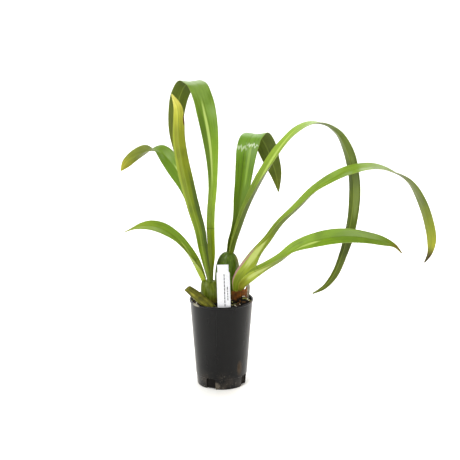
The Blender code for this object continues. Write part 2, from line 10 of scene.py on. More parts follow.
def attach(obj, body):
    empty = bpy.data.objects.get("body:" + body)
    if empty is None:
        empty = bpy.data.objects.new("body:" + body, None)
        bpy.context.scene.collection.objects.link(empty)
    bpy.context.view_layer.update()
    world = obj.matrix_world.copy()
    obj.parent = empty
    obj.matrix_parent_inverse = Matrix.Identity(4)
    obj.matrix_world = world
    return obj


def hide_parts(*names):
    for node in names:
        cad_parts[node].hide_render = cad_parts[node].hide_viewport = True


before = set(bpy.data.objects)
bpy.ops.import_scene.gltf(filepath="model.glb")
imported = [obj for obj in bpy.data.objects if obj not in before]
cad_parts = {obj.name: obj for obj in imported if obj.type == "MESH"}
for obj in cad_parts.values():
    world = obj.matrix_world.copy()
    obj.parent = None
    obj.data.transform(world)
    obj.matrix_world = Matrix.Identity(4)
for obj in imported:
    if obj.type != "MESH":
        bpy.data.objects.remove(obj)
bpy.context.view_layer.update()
scene = bpy.context.scene
mm = 0.001


# Small helpers for colours, nodes and edit mode

def hexColour(code):
    # sRGB hex to the linear colour that a shader takes
    parts = [int(code[i:i + 2], 16) / 255 for i in (1, 3, 5)]
    return (*[p / 12.92 if p <= 0.04045 else ((p + 0.055) / 1.055) ** 2.4 for p in parts], 1)


def addNode(tree, kind, inputs=(), **settings):
    # inputs by place or name: a socket, a number or a hex colour; settings go to the node, stops to its ramp
    node = tree.nodes.new("ShaderNode" + kind)
    stops = settings.pop("stops", ())
    for key, value in settings.items():
        setattr(node, key, value)
    while stops and len(node.color_ramp.elements) < len(stops):
        node.color_ramp.elements.new(0.5)
    for index, (place, colour) in enumerate(stops):
        node.color_ramp.elements[index].position = place
        node.color_ramp.elements[index].color = hexColour(colour)
    for key, value in (inputs.items() if isinstance(inputs, dict) else enumerate(inputs)):
        if isinstance(value, bpy.types.NodeSocket):
            tree.links.new(value, node.inputs[key])
        else:
            node.inputs[key].default_value = hexColour(value) if isinstance(value, str) else value
    return node.outputs[2 if kind == "Mix" else 0]


def newMaterial(name, roughness, ior=1.46, specular=0.5):
    # a Principled material, with its tree, its shader and the Object coordinates
    made = bpy.data.materials.new(name)
    made.use_nodes = True
    shader = made.node_tree.nodes["Principled BSDF"]
    shader.inputs["Roughness"].default_value = roughness
    shader.inputs["IOR"].default_value = ior
    shader.inputs["Specular IOR Level"].default_value = specular
    place = addNode(made.node_tree, "TexCoord").node.outputs["Object"]
    return made, made.node_tree, shader, place


def finishMaterial(tree, shader, colour, roughness=None, height=None, distance=0.1 * mm, strength=0.5):
    tree.links.new(colour, shader.inputs["Base Color"])
    if roughness is not None:
        tree.links.new(roughness, shader.inputs["Roughness"])
    if height is not None:
        bump = addNode(tree, "Bump", {"Height": height, "Strength": strength, "Distance": distance})
        tree.links.new(bump, shader.inputs["Normal"])


def deselectAll():
    if bpy.context.object and bpy.context.object.mode != "OBJECT":
        bpy.ops.object.mode_set(mode="OBJECT")
    bpy.ops.object.select_all(action="DESELECT")


def makeActive(obj):
    deselectAll()
    obj.select_set(True)
    bpy.context.view_layer.objects.active = obj


def primitive(add, name, **settings):
    # adds one primitive, names it and returns its object
    deselectAll()
    add(**settings)
    obj = bpy.context.object
    obj.name = name
    obj.data.name = name
    return obj


def applyModifier(obj, kind, **settings):
    makeActive(obj)
    modifier = obj.modifiers.new(kind.lower(), kind)
    for key, value in settings.items():
        setattr(modifier, key, value)
    bpy.ops.object.modifier_apply(modifier=modifier.name)


def ringCylinder(name, sides, rings):
    # a unit cylinder from -1 to 1 with cuts round it, ready to be shaped ring by ring
    obj = primitive(bpy.ops.mesh.primitive_cylinder_add, name, vertices=sides, radius=1, depth=2,
                    end_fill_type="TRIFAN")
    bpy.ops.object.mode_set(mode="EDIT")
    bpy.ops.mesh.select_all(action="DESELECT")
    bpy.ops.object.mode_set(mode="OBJECT")
    for edge in obj.data.edges:
        ends = [obj.data.vertices[i].co.z for i in edge.vertices]
        edge.select = abs(ends[0] - ends[1]) > 1
    bpy.ops.object.mode_set(mode="EDIT")
    bpy.ops.mesh.select_mode(type="EDGE")
    bpy.ops.mesh.subdivide(number_cuts=rings)
    bpy.ops.object.mode_set(mode="OBJECT")
    return obj


def joinPieces(obj, others):
    deselectAll()
    for other in others:
        other.select_set(True)
    obj.select_set(True)
    bpy.context.view_layer.objects.active = obj
    bpy.ops.object.join()
    return obj


def finishPiece(obj, material, node=None, smoothAngle=60):
    # place goes into the mesh, normals point out, and the piece rides on the plant's one body
    makeActive(obj)
    bpy.ops.object.transform_apply(location=True, rotation=True, scale=True)
    bpy.ops.object.mode_set(mode="EDIT")
    bpy.ops.mesh.select_all(action="SELECT")
    bpy.ops.mesh.normals_make_consistent(inside=False)
    bpy.ops.object.mode_set(mode="OBJECT")
    bpy.ops.object.shade_smooth_by_angle(angle=math.radians(smoothAngle))
    obj.data.materials.clear()
    obj.data.materials.append(material)
    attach(obj, "root")
    if node:
        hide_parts(node)
    return obj


# Leaves: strap blades, each along its folded midrib

leafBuild = {
    "cellLength": 3.0,          # mm along the blade before subdivision
    "cellsAcross": 16,          # closest together at the midrib
    "keel": 0.3,                # share of each half that rounds the fold
    "midribThickness": 1.05,    # mm
    "marginShare": 0.55,        # thickness at the margins as a share of the midrib's
    "footDepth": 2.4,           # mm that the foot reaches into its joint
    "ripple": 0.25,             # mm, slow wave of the margins
    "rippleLength": 46.0,
    "groove": 0.22,             # mm, crease along the upper face
    "veinSpacing": 1.3,         # mm between veins, coarser than life so that they show
    "streakLength": 26.0,
}

# Each leaf: the heading it bends towards, then points along the middle of its folded blade as
# (x, y, z, flat width) in mm with the roll and the fold in degrees. Colours run from foot to tip, top and
# under are the two faces. Painted light and marks: place along and across (0 to 1), reach along and
# across, colour, amount; they hold painted highlights and painted shade as well as the leaf's own marks.
leaves = {
    "leafLeftLow": {
        "node": "leaf_left_low", "heading": 200,
        "path": [
            (-20, -5.4, 125.3, 12, 25, 76), (-23.1, -6.2, 133.2, 15.5, 28, 70),
            (-29.2, -9, 146.9, 18, 35, 52), (-39, -13, 163, 17, 42, 35), (-51, -18, 178, 16, 45, 24),
            (-63.5, -23, 187.5, 17.5, 45, 16), (-78, -28, 192.5, 14, 42, 14),
            (-91, -32, 192, 7, 35, 15), (-98, -34, 190, 3, 30, 20), (-105, -36, 187.5, 1.4, 20, 20)],
        "top": [(0, "#8a9a2c"), (0.3, "#76901f"), (0.6, "#6a8818"), (0.9, "#7c8f28"), (1, "#8f9340")],
        "under": [(0, "#93a22c"), (0.18, "#84961f"), (0.45, "#66790f"), (0.8, "#5b6c14"), (1, "#77802c")],
        "joint": 0.19,
        # a painted highlight along the channel, painted shadow in the channel below it, and a lighter patch
        # by the foot
        "paintedLightAndMarks": [(0.33, 0.4, 0.12, 0.06, "#a9bb52", 0.7), (0.33, 0.52, 0.14, 0.035, "#47550c", 0.7),
                  (0.1, 0.2, 0.1, 0.12, "#a3b23f", 0.5)],
    },
    "leafFront": {
        "node": "leaf_front", "heading": 280,
        "path": [
            (-13, -12, 125, 9.5, 12, 64), (-16.7, -14, 142.5, 11.5, 15, 56),
            (-20.4, -14, 162.3, 13.7, 15, 46), (-23.5, -14, 182, 15, 20, 35),
            (-31, -15, 210, 16, 20, 30), (-37.5, -15, 237, 17.5, 20, 28), (-43, -14, 263, 16.5, 20, 25),
            (-46, -13, 287, 15, 15, 25), (-46, -13, 309, 13, 15, 25), (-47, -14, 322, 10, 15, 25),
            (-50.5, -16, 330.5, 5, 20, 25), (-53, -18, 336, 1.4, 25, 25)],
        "top": [(0, "#7c8d20"), (0.4, "#66800f"), (0.85, "#83902a"), (0.92, "#b2ae48"), (1, "#c4bd62")],
        "under": [(0, "#617510"), (0.25, "#5d7209"), (0.55, "#667306"), (0.8, "#7a7f12"), (0.88, "#989a2a"),
                  (0.93, "#b9b446"), (1, "#c8c062")],
        "joint": 0.2,
        # a brown spot of the leaf's own near the tip, painted shade over the right half and at the foot, and
        # a paler band along the left margin
        "paintedLightAndMarks": [(0.858, 0.97, 0.036, 0.16, "#451c06", 0.92), (0.3, 0.86, 0.34, 0.24, "#33460a", 0.75),
                  (0.55, 0.12, 0.4, 0.12, "#8c9c2a", 0.5), (0.02, 0.5, 0.05, 0.5, "#4a5a0e", 0.6)],
    },
    "leafLeftBack": {
        "node": "leaf_left_back", "heading": 150,
        "path": [
            (-14, 0.8, 124.7, 10, 27, 62), (-18, 4.2, 142, 12, 27, 52), (-21.5, 7, 164, 13, 34, 40),
            (-27, 10, 188, 14, 39, 32), (-32.5, 13, 209, 15.5, 45, 28), (-40, 16, 228, 18, 51, 25),
            (-51, 20, 246, 21, 53, 22), (-62, 25, 260.5, 21.5, 40, 28), (-71, 31, 267.5, 20.5, 14, 40),
            (-80.5, 37, 268, 19.5, -16, 42), (-90.5, 42, 263.5, 17, -40, 28),
            (-102.5, 45, 255.5, 14.5, -50, 16), (-110.5, 46, 247.5, 10.5, -52, 12),
            (-116, 46, 240, 1.4, -52, 12)],
        "top": [(0, "#6f8a1a"), (0.35, "#64830f"), (0.62, "#5f7f1c"), (0.85, "#66801c"), (1, "#85861a")],
        "under": [(0, "#56690f"), (0.5, "#4f6110"), (0.72, "#5e6a26"), (0.9, "#6a7416"), (1, "#a19b2c")],
        "joint": 0.2,
        # a painted highlight near the bend and painted shade over one half
        "paintedLightAndMarks": [(0.56, 0.42, 0.07, 0.07, "#a2b65c", 0.75), (0.5, 0.2, 0.12, 0.16, "#3f5206", 0.5)],
    },
    "leafTallBack": {
        "node": "leaf_tall_back", "heading": 100,
        "path": [
            (-10.5, -6, 124.2, 3, 10, 40), (-10.8, -5, 137.9, 5.5, 10, 38),
            (-10.8, -3, 151.4, 9.3, 10, 36), (-11.5, -1, 169.5, 10.5, 10, 38),
            (-12, 1, 185.5, 11.5, 10, 40), (-11.5, 2, 201, 11.5, 12, 42), (-9.5, 5, 226, 12, 15, 40),
            (-9.5, 8, 254, 15, 15, 36), (-11.5, 12, 281, 19.5, 15, 26), (-16, 17, 309, 22.5, 8, 14),
            (-21, 24, 328.5, 23, -3, 4), (-27.5, 33, 341, 23.5, -2, 2), (-37, 43, 343, 23, 2, 2),
            (-46.5, 52, 328.5, 22, 1, 6), (-51.5, 57, 307, 19.5, -5, 12), (-53, 60, 283, 16, -10, 14),
            (-51, 61, 262, 10.5, -10, 14), (-50, 62, 243, 1.4, -10, 14)],
        "top": [(0, "#7c8c16"), (0.16, "#869a20"), (0.19, "#8aa23a"), (0.34, "#7d9a30"), (0.5, "#5f800a"),
                (0.64, "#67822a"), (0.8, "#5b7414"), (1, "#76801c")],
        "under": [(0, "#5a690a"), (0.5, "#4c5c04"), (0.75, "#4a5803"), (1, "#5d6210")],
        "joint": 0.17,
        # a painted highlight stripe, painted shade over the left part beside it, and a lighter band across
        # near the crest
        "paintedLightAndMarks": [(0.45, 0.6, 0.17, 0.1, "#b3c76c", 0.8), (0.44, 0.84, 0.19, 0.2, "#4a6206", 0.75),
                  (0.63, 0.5, 0.05, 0.5, "#6f8a3c", 0.5)],
    },
    "leafCentreBack": {
        "node": "leaf_centre_back", "heading": 70,
        "path": [
            (9.4, 17.6, 152.9, 9, -15, 55), (10.9, 18.2, 161.2, 11.5, -18, 52),
            (14.9, 18, 176.6, 11.3, -20, 46), (19, 18.5, 194, 14, -20, 38),
            (21.5, 19.5, 212.5, 17.5, -20, 30), (24.5, 21, 232, 20, -20, 22),
            (27, 24, 253, 22.5, -18, 14), (29.5, 29, 268.5, 25, -9, 5), (34, 37, 280.5, 25.5, -3, 1),
            (41.5, 46, 283, 25, 1, 1), (50, 52, 271, 24, 16, 6), (57.5, 57, 252, 20.5, 25, 12),
            (63.5, 60, 234, 14, 20, 12), (67, 62, 212, 1.4, 20, 12)],
        "top": [(0, "#627410"), (0.3, "#547104"), (0.5, "#5c800c"), (0.62, "#648a28"), (0.72, "#5b7c18"),
                (1, "#56650a")],
        "under": [(0, "#5c7010"), (0.6, "#4a5a03"), (0.85, "#505f02"), (1, "#5c6408")],
        "joint": 0.14,
        # two thin painted highlights across the blade where it arches over, painted shade in a crease, and a
        # lighter painted highlight band
        "paintedLightAndMarks": [(0.552, 0.3, 0.008, 0.34, "#c0cdb0", 0.7), (0.532, 0.76, 0.012, 0.3, "#b5c4a0", 0.6),
                  (0.4, 0.62, 0.16, 0.05, "#3f5402", 0.7), (0.45, 0.35, 0.14, 0.08, "#86a33a", 0.5)],
    },
    "leafCentreArch": {
        "node": "leaf_centre_arch", "heading": 350,
        "path": [
            (11.3, 12.8, 152.5, 13, -15, 70), (14.1, 11, 165.3, 15, -15, 66),
            (18.9, 8, 181.3, 17, -18, 62), (27, 3, 205, 17.5, -22, 56),
            (44.5, -7, 243.5, 19.5, -30, 43), (55.5, -14, 263.5, 18.5, -34, 32),
            (67.5, -20, 282, 16, -32, 22), (80, -24, 296.5, 14, -30, 16),
            (93.5, -27, 304.5, 14, -14, 10), (107, -29.5, 306, 15, 8, 10),
            (125, -31, 296.5, 16.5, 33, 12), (136.5, -32, 277, 16.5, 50, 14),
            (143.5, -32, 250, 15.5, 60, 16), (145, -31, 219, 14.5, 65, 18),
            (141.5, -30, 188, 13.5, 60, 18), (134, -28, 158, 11, 60, 18),
            (124.5, -27, 134, 8.5, 60, 18), (114.5, -26.5, 121.5, 5.5, 60, 18),
            (102, -26, 114, 1.4, 60, 18)],
        "top": [(0, "#66780c"), (0.16, "#62780a"), (0.3, "#7c9526"), (0.42, "#88a440"), (0.52, "#73902c"),
                (0.75, "#5f7a1c"), (1, "#5c6a10")],
        "under": [(0, "#596a08"), (0.3, "#4a5b05"), (0.52, "#55641c"), (0.7, "#4c5b0e"), (0.85, "#465304"),
                  (1, "#4c5606")],
        "joint": 0.1,
        # a painted highlight on the rising part and a greyer band on the falling part
        "paintedLightAndMarks": [(0.3, 0.6, 0.14, 0.1, "#a9bf5c", 0.75), (0.68, 0.3, 0.1, 0.25, "#6f7f3a", 0.55)],
    },
    "leafRightLong": {
        "node": "leaf_right_long", "heading": 345,
        "path": [
            (17.2, 3.2, 110.8, 16, 0, 82), (18.3, 2.8, 118.4, 26, 0, 84),
            (22.6, 2.2, 127.4, 34, -3, 84), (30.5, 1, 139.5, 36, -5, 83), (40, -2.5, 156, 25, -8, 78),
            (51, -8, 171.5, 20, -12, 70), (65.5, -17, 193.5, 16, -22, 58),
            (85, -26, 215, 15.5, -30, 50), (101.5, -34, 234, 15, -38, 42), (120, -41, 248, 15, -42, 28),
            (139, -47, 258, 17, -32, 14), (162, -52, 262.5, 17, -13, 12), (181, -54, 258.5, 15, 4, 12),
            (199.5, -55, 248, 14, 34, 12), (213.5, -56, 227, 14.5, 50, 14),
            (222.5, -56, 203, 14, 60, 14), (226.5, -56, 180, 11.5, 60, 14),
            (225, -56, 167.5, 6, 60, 14), (220, -56, 158, 1.4, 55, 14)],
        "top": [(0, "#98a838"), (0.2, "#6f8410"), (0.35, "#7a9422"), (0.5, "#6c8a14"), (0.6, "#76902c"),
                (0.85, "#66701c"), (0.94, "#8a8f1a"), (1, "#2a160c")],
        "under": [(0, "#7d8d1c"), (0.08, "#99a936"), (0.2, "#72820f"), (0.34, "#56680c"), (0.6, "#5c6726"),
                  (0.8, "#5e6a28"), (0.9, "#7a821e"), (0.945, "#8d9020"), (0.972, "#3d2710"), (1, "#1c100b")],
        "joint": 0.14,
        # painted highlights by the foot and along the rising part, the leaf's own purplish margin at the
        # foot, and a greyer band on the falling part
        "paintedLightAndMarks": [(0.14, 0.2, 0.07, 0.16, "#c3cf7a", 0.7), (0.4, 0.42, 0.1, 0.1, "#a8bd5a", 0.8),
                  (0.08, 0.02, 0.1, 0.05, "#a3707e", 0.8), (0.72, 0.4, 0.12, 0.3, "#6f7450", 0.5)],
    },
    "leafRightLow": {
        "node": "leaf_right_low", "heading": 335,
        "path": [
            (22.3, -4.4, 112, 11.5, 0, 78), (23.7, -6, 118.6, 16.5, -6, 79),
            (28.4, -9.8, 125.4, 23, -12, 78), (37, -14, 134, 25, -15, 73),
            (48.5, -19, 142.5, 19.5, -22, 66), (64, -24.5, 153.5, 18.5, -32, 56),
            (80, -33, 168, 18, -45, 42), (99, -41, 178, 19, -54, 22), (119, -50, 185, 19, -55, 14),
            (139, -59, 188.5, 17, -55, 12), (157, -66, 188, 14, -50, 12),
            (173, -72, 185.5, 11, -45, 12), (185.5, -75, 181, 4.5, -35, 14),
            (192, -77, 174, 1.4, -25, 14)],
        "top": [(0, "#8d9c2c"), (0.2, "#78901e"), (0.4, "#7d9a28"), (0.6, "#66850a"), (0.9, "#5c7410"),
                (1, "#6f6a18")],
        "under": [(0, "#8a8424"), (0.1, "#96a434"), (0.22, "#7d8e1c"), (0.4, "#55660a"), (1, "#5c6614")],
        "joint": 0.16,
        # painted highlights by the foot and along the rising part, a darker band further out, and the leaf's
        # own brown tip
        "paintedLightAndMarks": [(0.16, 0.2, 0.1, 0.12, "#b7c26e", 0.7), (0.47, 0.4, 0.1, 0.12, "#b0c468", 0.8),
                  (0.7, 0.5, 0.1, 0.4, "#4a6604", 0.4), (0.98, 0.5, 0.05, 0.6, "#6a5418", 0.7)],
    },
}


def smoothRows(rows, count):
    # even steps along a smooth curve through the rows, every column blended alike
    rows = np.array(rows, float)
    lengths = np.linalg.norm(np.diff(rows[:, :3], axis=0), axis=1)
    at = np.concatenate([[0], np.cumsum(lengths)])
    steps = np.diff(rows, axis=0) / lengths[:, None]
    before, after = lengths[:-1, None], lengths[1:, None]
    middle = (steps[:-1] * after + steps[1:] * before) / (before + after)
    slopes = np.vstack([steps[:1], middle, steps[-1:]])
    out = []
    for place in np.linspace(0, at[-1], count):
        i = min(int(np.searchsorted(at, place, side="right")) - 1, len(lengths) - 1)
        t = (place - at[i]) / lengths[i]
        out.append((2 * t**3 - 3 * t**2 + 1) * rows[i]
                   + (t**3 - 2 * t**2 + t) * lengths[i] * slopes[i]
                   + (3 * t**2 - 2 * t**3) * rows[i + 1]
                   + (t**3 - t**2) * lengths[i] * slopes[i + 1])
    return np.array(out)


def bladeSection(across, fold):
    # a place across the folded blade and the height of its margins, all in half widths
    bend, keel, away = math.radians(fold), leafBuild["keel"], abs(across)
    radius = keel / bend
    turn = bend * min(away, keel) / keel
    flat = max(0.0, away - keel)
    out = radius * math.sin(turn) + flat * math.cos(bend)
    rise = radius * (1 - math.cos(turn)) + flat * math.sin(bend)
    rim = radius * (1 - math.cos(bend)) + (1 - keel) * math.sin(bend)
    return math.copysign(out, across), rise, rim


def leafMaterial(name, leaf, length, width):
    # Living leaf: a waxy cuticle over green tissue gives a satin sheen, with parallel veins along it
    made, tree, shader, place = newMaterial(name, 0.42, 1.45, 0.32)
    uv = addNode(tree, "UVMap", uv_map="UVMap")
    split = addNode(tree, "SeparateXYZ", (uv,)).node
    along, across = split.outputs[0], split.outputs[1]
    topSide = addNode(tree, "Attribute", attribute_name="topSide").node.outputs["Fac"]
    # veins: noise drawn out along the blade and squeezed across it to their spacing
    drawn = addNode(tree, "Mapping", {0: uv, 3: (length / leafBuild["streakLength"],
                                                 width / leafBuild["veinSpacing"], 1)})
    veins = addNode(tree, "TexNoise", {"Vector": drawn, "Scale": 1.0, "Detail": 3.0},
                    noise_dimensions="2D")
    # soft patches, about 18 mm, where the green is fuller or thinner
    patches = addNode(tree, "TexNoise", {"Vector": place, "Scale": 1 / (18 * mm), "Detail": 2.0})
    wander = addNode(tree, "Math", (veins, 0.05, addNode(tree, "Math", (along, 0.025), operation="SUBTRACT")),
                     operation="MULTIPLY_ADD")
    top = addNode(tree, "ValToRGB", (wander,), stops=leaf["top"])
    under = addNode(tree, "ValToRGB", (wander,), stops=leaf["under"])
    colour = addNode(tree, "Mix", {0: topSide, 6: under, 7: top}, data_type="RGBA")
    ribColour = addNode(tree, "Mix", {0: topSide, 6: "#76862a", 7: "#566a12"}, data_type="RGBA")
    fromRib, fromJoint = [
        addNode(tree, "Math", (addNode(tree, "Math", (value, middle), operation="SUBTRACT"),),
                operation="ABSOLUTE") for value, middle in ((across, 0.5), (along, leaf["joint"]))]
    # each layer: what it follows, where that fades in, the most of it, its colour and how it mixes
    layers = [
        (veins, 0.5, 0.75, 0.3, "#a9b765", "OVERLAY"), (veins, 0.5, 0.25, 0.3, "#5c6b1c", "MULTIPLY"),
        (patches, 0.45, 0.75, 0.25, "#6b7f1a", "MULTIPLY"),
        # midrib: a darker crease above, a slightly paler keel below; then the thin pale margin
        (fromRib, 0.04, 0.01, 0.5, ribColour, "MIX"), (fromRib, 0.465, 0.495, 0.4, "#9aa450", "MIX"),
        # joint where the blade will one day drop: a fine dark line
        (fromJoint, 1.0 / length, 0.3 / length, 0.4, "#4c5812", "MIX")]
    # painted highlights, painted shade over dark halves and bands, and the leaf's own bruises, their edges
    # broken by the veins
    broken = addNode(tree, "CombineXYZ", (wander, across))
    for at, aside, reach, spread, tint, amount in leaf["paintedLightAndMarks"]:
        placed = addNode(tree, "Mapping", {0: broken, 1: (-at / reach, -aside / spread, 0),
                                           3: (1 / reach, 1 / spread, 1)})
        ball = addNode(tree, "TexGradient", (placed,), gradient_type="SPHERICAL")
        layers.append((ball, 0.0, 0.45, amount, tint, "MIX"))
    for follows, low, high, amount, tint, blend in layers:
        share = addNode(tree, "MapRange", (follows, low, high, 0.0, amount), interpolation_type="SMOOTHSTEP")
        colour = addNode(tree, "Mix", {0: share, 6: colour, 7: tint}, data_type="RGBA", blend_type=blend)
    roughness = addNode(tree, "Math", (veins, 0.16, 0.34), operation="MULTIPLY_ADD")
    finishMaterial(tree, shader, colour, roughness, veins, 0.12 * mm, 0.5)
    return made


def makeLeaf(name, leaf):
    path = leaf["path"]
    length = sum((Vector(a[:3]) - Vector(b[:3])).length for a, b in zip(path, path[1:]))
    cells = round(length / leafBuild["cellLength"])
    rows = smoothRows(path, cells + 1)
    tangents = np.gradient(rows[:, :3], axis=0)
    bearing = math.radians(leaf["heading"])
    level = Vector((-math.sin(bearing), math.cos(bearing), 0))
    obj = primitive(bpy.ops.mesh.primitive_grid_add, name, x_subdivisions=cells,
                    y_subdivisions=leafBuild["cellsAcross"], size=2)
    thick = obj.vertex_groups.new(name="thick")
    places = []
    # the two margins wave out of step, and the waves die out towards foot and tip
    for vert in obj.data.vertices:
        share = (vert.co.x + 1) / 2
        across = math.copysign(abs(vert.co.y) ** 1.5, vert.co.y)
        station = round(share * cells)
        x, y, z, width, roll, fold = rows[station]
        tangent = Vector(tangents[station]).normalized()
        if station == 0:
            x, y, z = Vector((x, y, z)) - tangent * leafBuild["footDepth"]
        side = (level - level.dot(tangent) * tangent).normalized()
        face = tangent.cross(side)
        turn = math.radians(roll)
        side, face = (side * math.cos(turn) - face * math.sin(turn),
                      face * math.cos(turn) + side * math.sin(turn))
        half = width / 2
        out, rise, rim = bladeSection(across, fold)
        wave = leafBuild["ripple"] * math.sin(math.tau * share * length / leafBuild["rippleLength"]
                                              + (1.9 if across > 0 else 0)) * across ** 2
        wave *= min(1, 8 * (1 - share), 5 * share)
        groove = leafBuild["groove"] * math.exp(-(across / 0.1) ** 2) * min(1, half / 4)
        vert.co = (Vector((x, y, z)) + side * out * half
                   + face * ((rise - rim / 2) * half + wave - groove)) * mm
        thick.add([vert.index], 1 - min(1, abs(across)) ** 2, "REPLACE")
        places.append((share, (across + 1) / 2))
    for loop, corner in zip(obj.data.loops, obj.data.uv_layers["UVMap"].data):
        corner.uv = places[loop.vertex_index]
    sheetVerts = len(obj.data.vertices)
    faceUp = Vector(obj.data.polygons[0].normal)
    applyModifier(obj, "SOLIDIFY", thickness=leafBuild["midribThickness"] * mm, offset=0,
                  vertex_group="thick", thickness_vertex_group=leafBuild["marginShare"])
    # the sheet's own verts went to one side of the blade, the new ones to the other
    first = 1.0 if Vector(obj.data.polygons[0].normal).dot(faceUp) > 0 else 0.0
    flags = obj.data.attributes.new("topSide", "FLOAT", "POINT")
    flags.data.foreach_set("value", [first if i < sheetVerts else 1 - first
                                     for i in range(len(obj.data.vertices))])
    applyModifier(obj, "SUBSURF", levels=1)
    made = leafMaterial(name + "Blade", leaf, length, float(rows[:, 3].mean()))
    finishPiece(obj, made, leaf["node"], 70)


for name, leaf in leaves.items():
    makeLeaf(name, leaf)
print("leaves:", len(leaves))


# Pot: thin moulded polypropylene, turned about Z

pot = {
    "height": 100.8, "rimRadius": 36.5, "footRadius": 28.3, "wall": 1.2, "floor": 1.5,
    "lipHeight": 2.0, "lipProud": 0.6, "bandHeight": 13.0, "bandInset": 0.35,
    "notchWidth": 11.0, "notchReach": 7.0, "notchCount": 4, "notchTurn": -25.0,
    "steps": 128,
    "seamBearing": -9.0, "seamBottom": 53.0, "seamWidth": 0.5, "seamProud": 0.14,
    # marks and a painted highlight: place and reach in mm, colour, amount
    "marksAndHighlight": [((21.5, -24, 24), (5, 9, 13), "#3a2b18", 0.85),
               # the pale sliver just under the lip at the front left is a painted highlight
               ((-28.5, -22, 99.4), (7, 9, 2.4), "#8a8672", 0.9), ((-8, -29, 4), (10, 9, 7), "#6f675a", 0.5)],
}


def potRadius(height):
    top = pot["rimRadius"] - pot["lipProud"]
    return pot["footRadius"] + (top - pot["footRadius"]) * height / pot["height"]


def blackPotMaterial():
    # Black polypropylene, injection moulded: a dull gloss that blurs the room, dust and soil low down, and a
    # painted highlight under the lip
    made, tree, shader, place = newMaterial("blackPolypropylene", 0.3, 1.49, 0.2)
    height = addNode(tree, "SeparateXYZ", (place,)).node.outputs[2]
    # flow marks run up the wall, about 3 mm wide and 40 mm long
    tall = addNode(tree, "Mapping", {0: place, 3: (1 / (3 * mm), 1 / (3 * mm), 1 / (40 * mm))})
    flow = addNode(tree, "TexNoise", {"Vector": tall, "Scale": 1.0, "Detail": 3.0})
    grit = addNode(tree, "TexNoise", {"Vector": place, "Scale": 1 / (1.6 * mm), "Detail": 4.0})
    film = addNode(tree, "TexNoise", {"Vector": place, "Scale": 1 / (14 * mm), "Detail": 3.0})
    low = addNode(tree, "MapRange", (height, 26 * mm, 2 * mm), interpolation_type="SMOOTHSTEP")
    colour = addNode(tree, "Mix", {0: flow, 6: "#060606", 7: "#0d0d0e"}, data_type="RGBA")
    dust = addNode(tree, "MapRange", (film, 0.42, 0.7, 0.0, 0.3), interpolation_type="SMOOTHSTEP")
    dust = addNode(tree, "Math", (dust, low), operation="MULTIPLY")
    colour = addNode(tree, "Mix", {0: dust, 6: colour, 7: "#5a5148"}, data_type="RGBA")
    # the marks, and the painted highlight under the lip, with edges made ragged by the grit
    for at, reach, tint, amount in pot["marksAndHighlight"]:
        placed = addNode(tree, "Mapping", {0: place, 1: [-a / r for a, r in zip(at, reach)],
                                           3: [1 / (r * mm) for r in reach]})
        ball = addNode(tree, "TexGradient", (placed,), gradient_type="SPHERICAL")
        ragged = addNode(tree, "Math", (grit, 0.6, ball), operation="MULTIPLY_ADD")
        share = addNode(tree, "MapRange", (ragged, 0.4, 0.85, 0.0, amount), interpolation_type="SMOOTHSTEP")
        share = addNode(tree, "Math", (share, addNode(tree, "MapRange", (ball, 0.0, 0.15))),
                        operation="MULTIPLY")
        colour = addNode(tree, "Mix", {0: share, 6: colour, 7: tint}, data_type="RGBA")
    specks = addNode(tree, "MapRange", (grit, 0.62, 0.7, 0.0, 0.6), interpolation_type="SMOOTHSTEP")
    specks = addNode(tree, "Math", (specks, low), operation="MULTIPLY")
    colour = addNode(tree, "Mix", {0: specks, 6: colour, 7: "#8d8779"}, data_type="RGBA")
    roughness = addNode(tree, "Math", (flow, 0.1, 0.24), operation="MULTIPLY_ADD")
    finishMaterial(tree, shader, colour, roughness, flow, 0.04 * mm, 0.2)
    return made


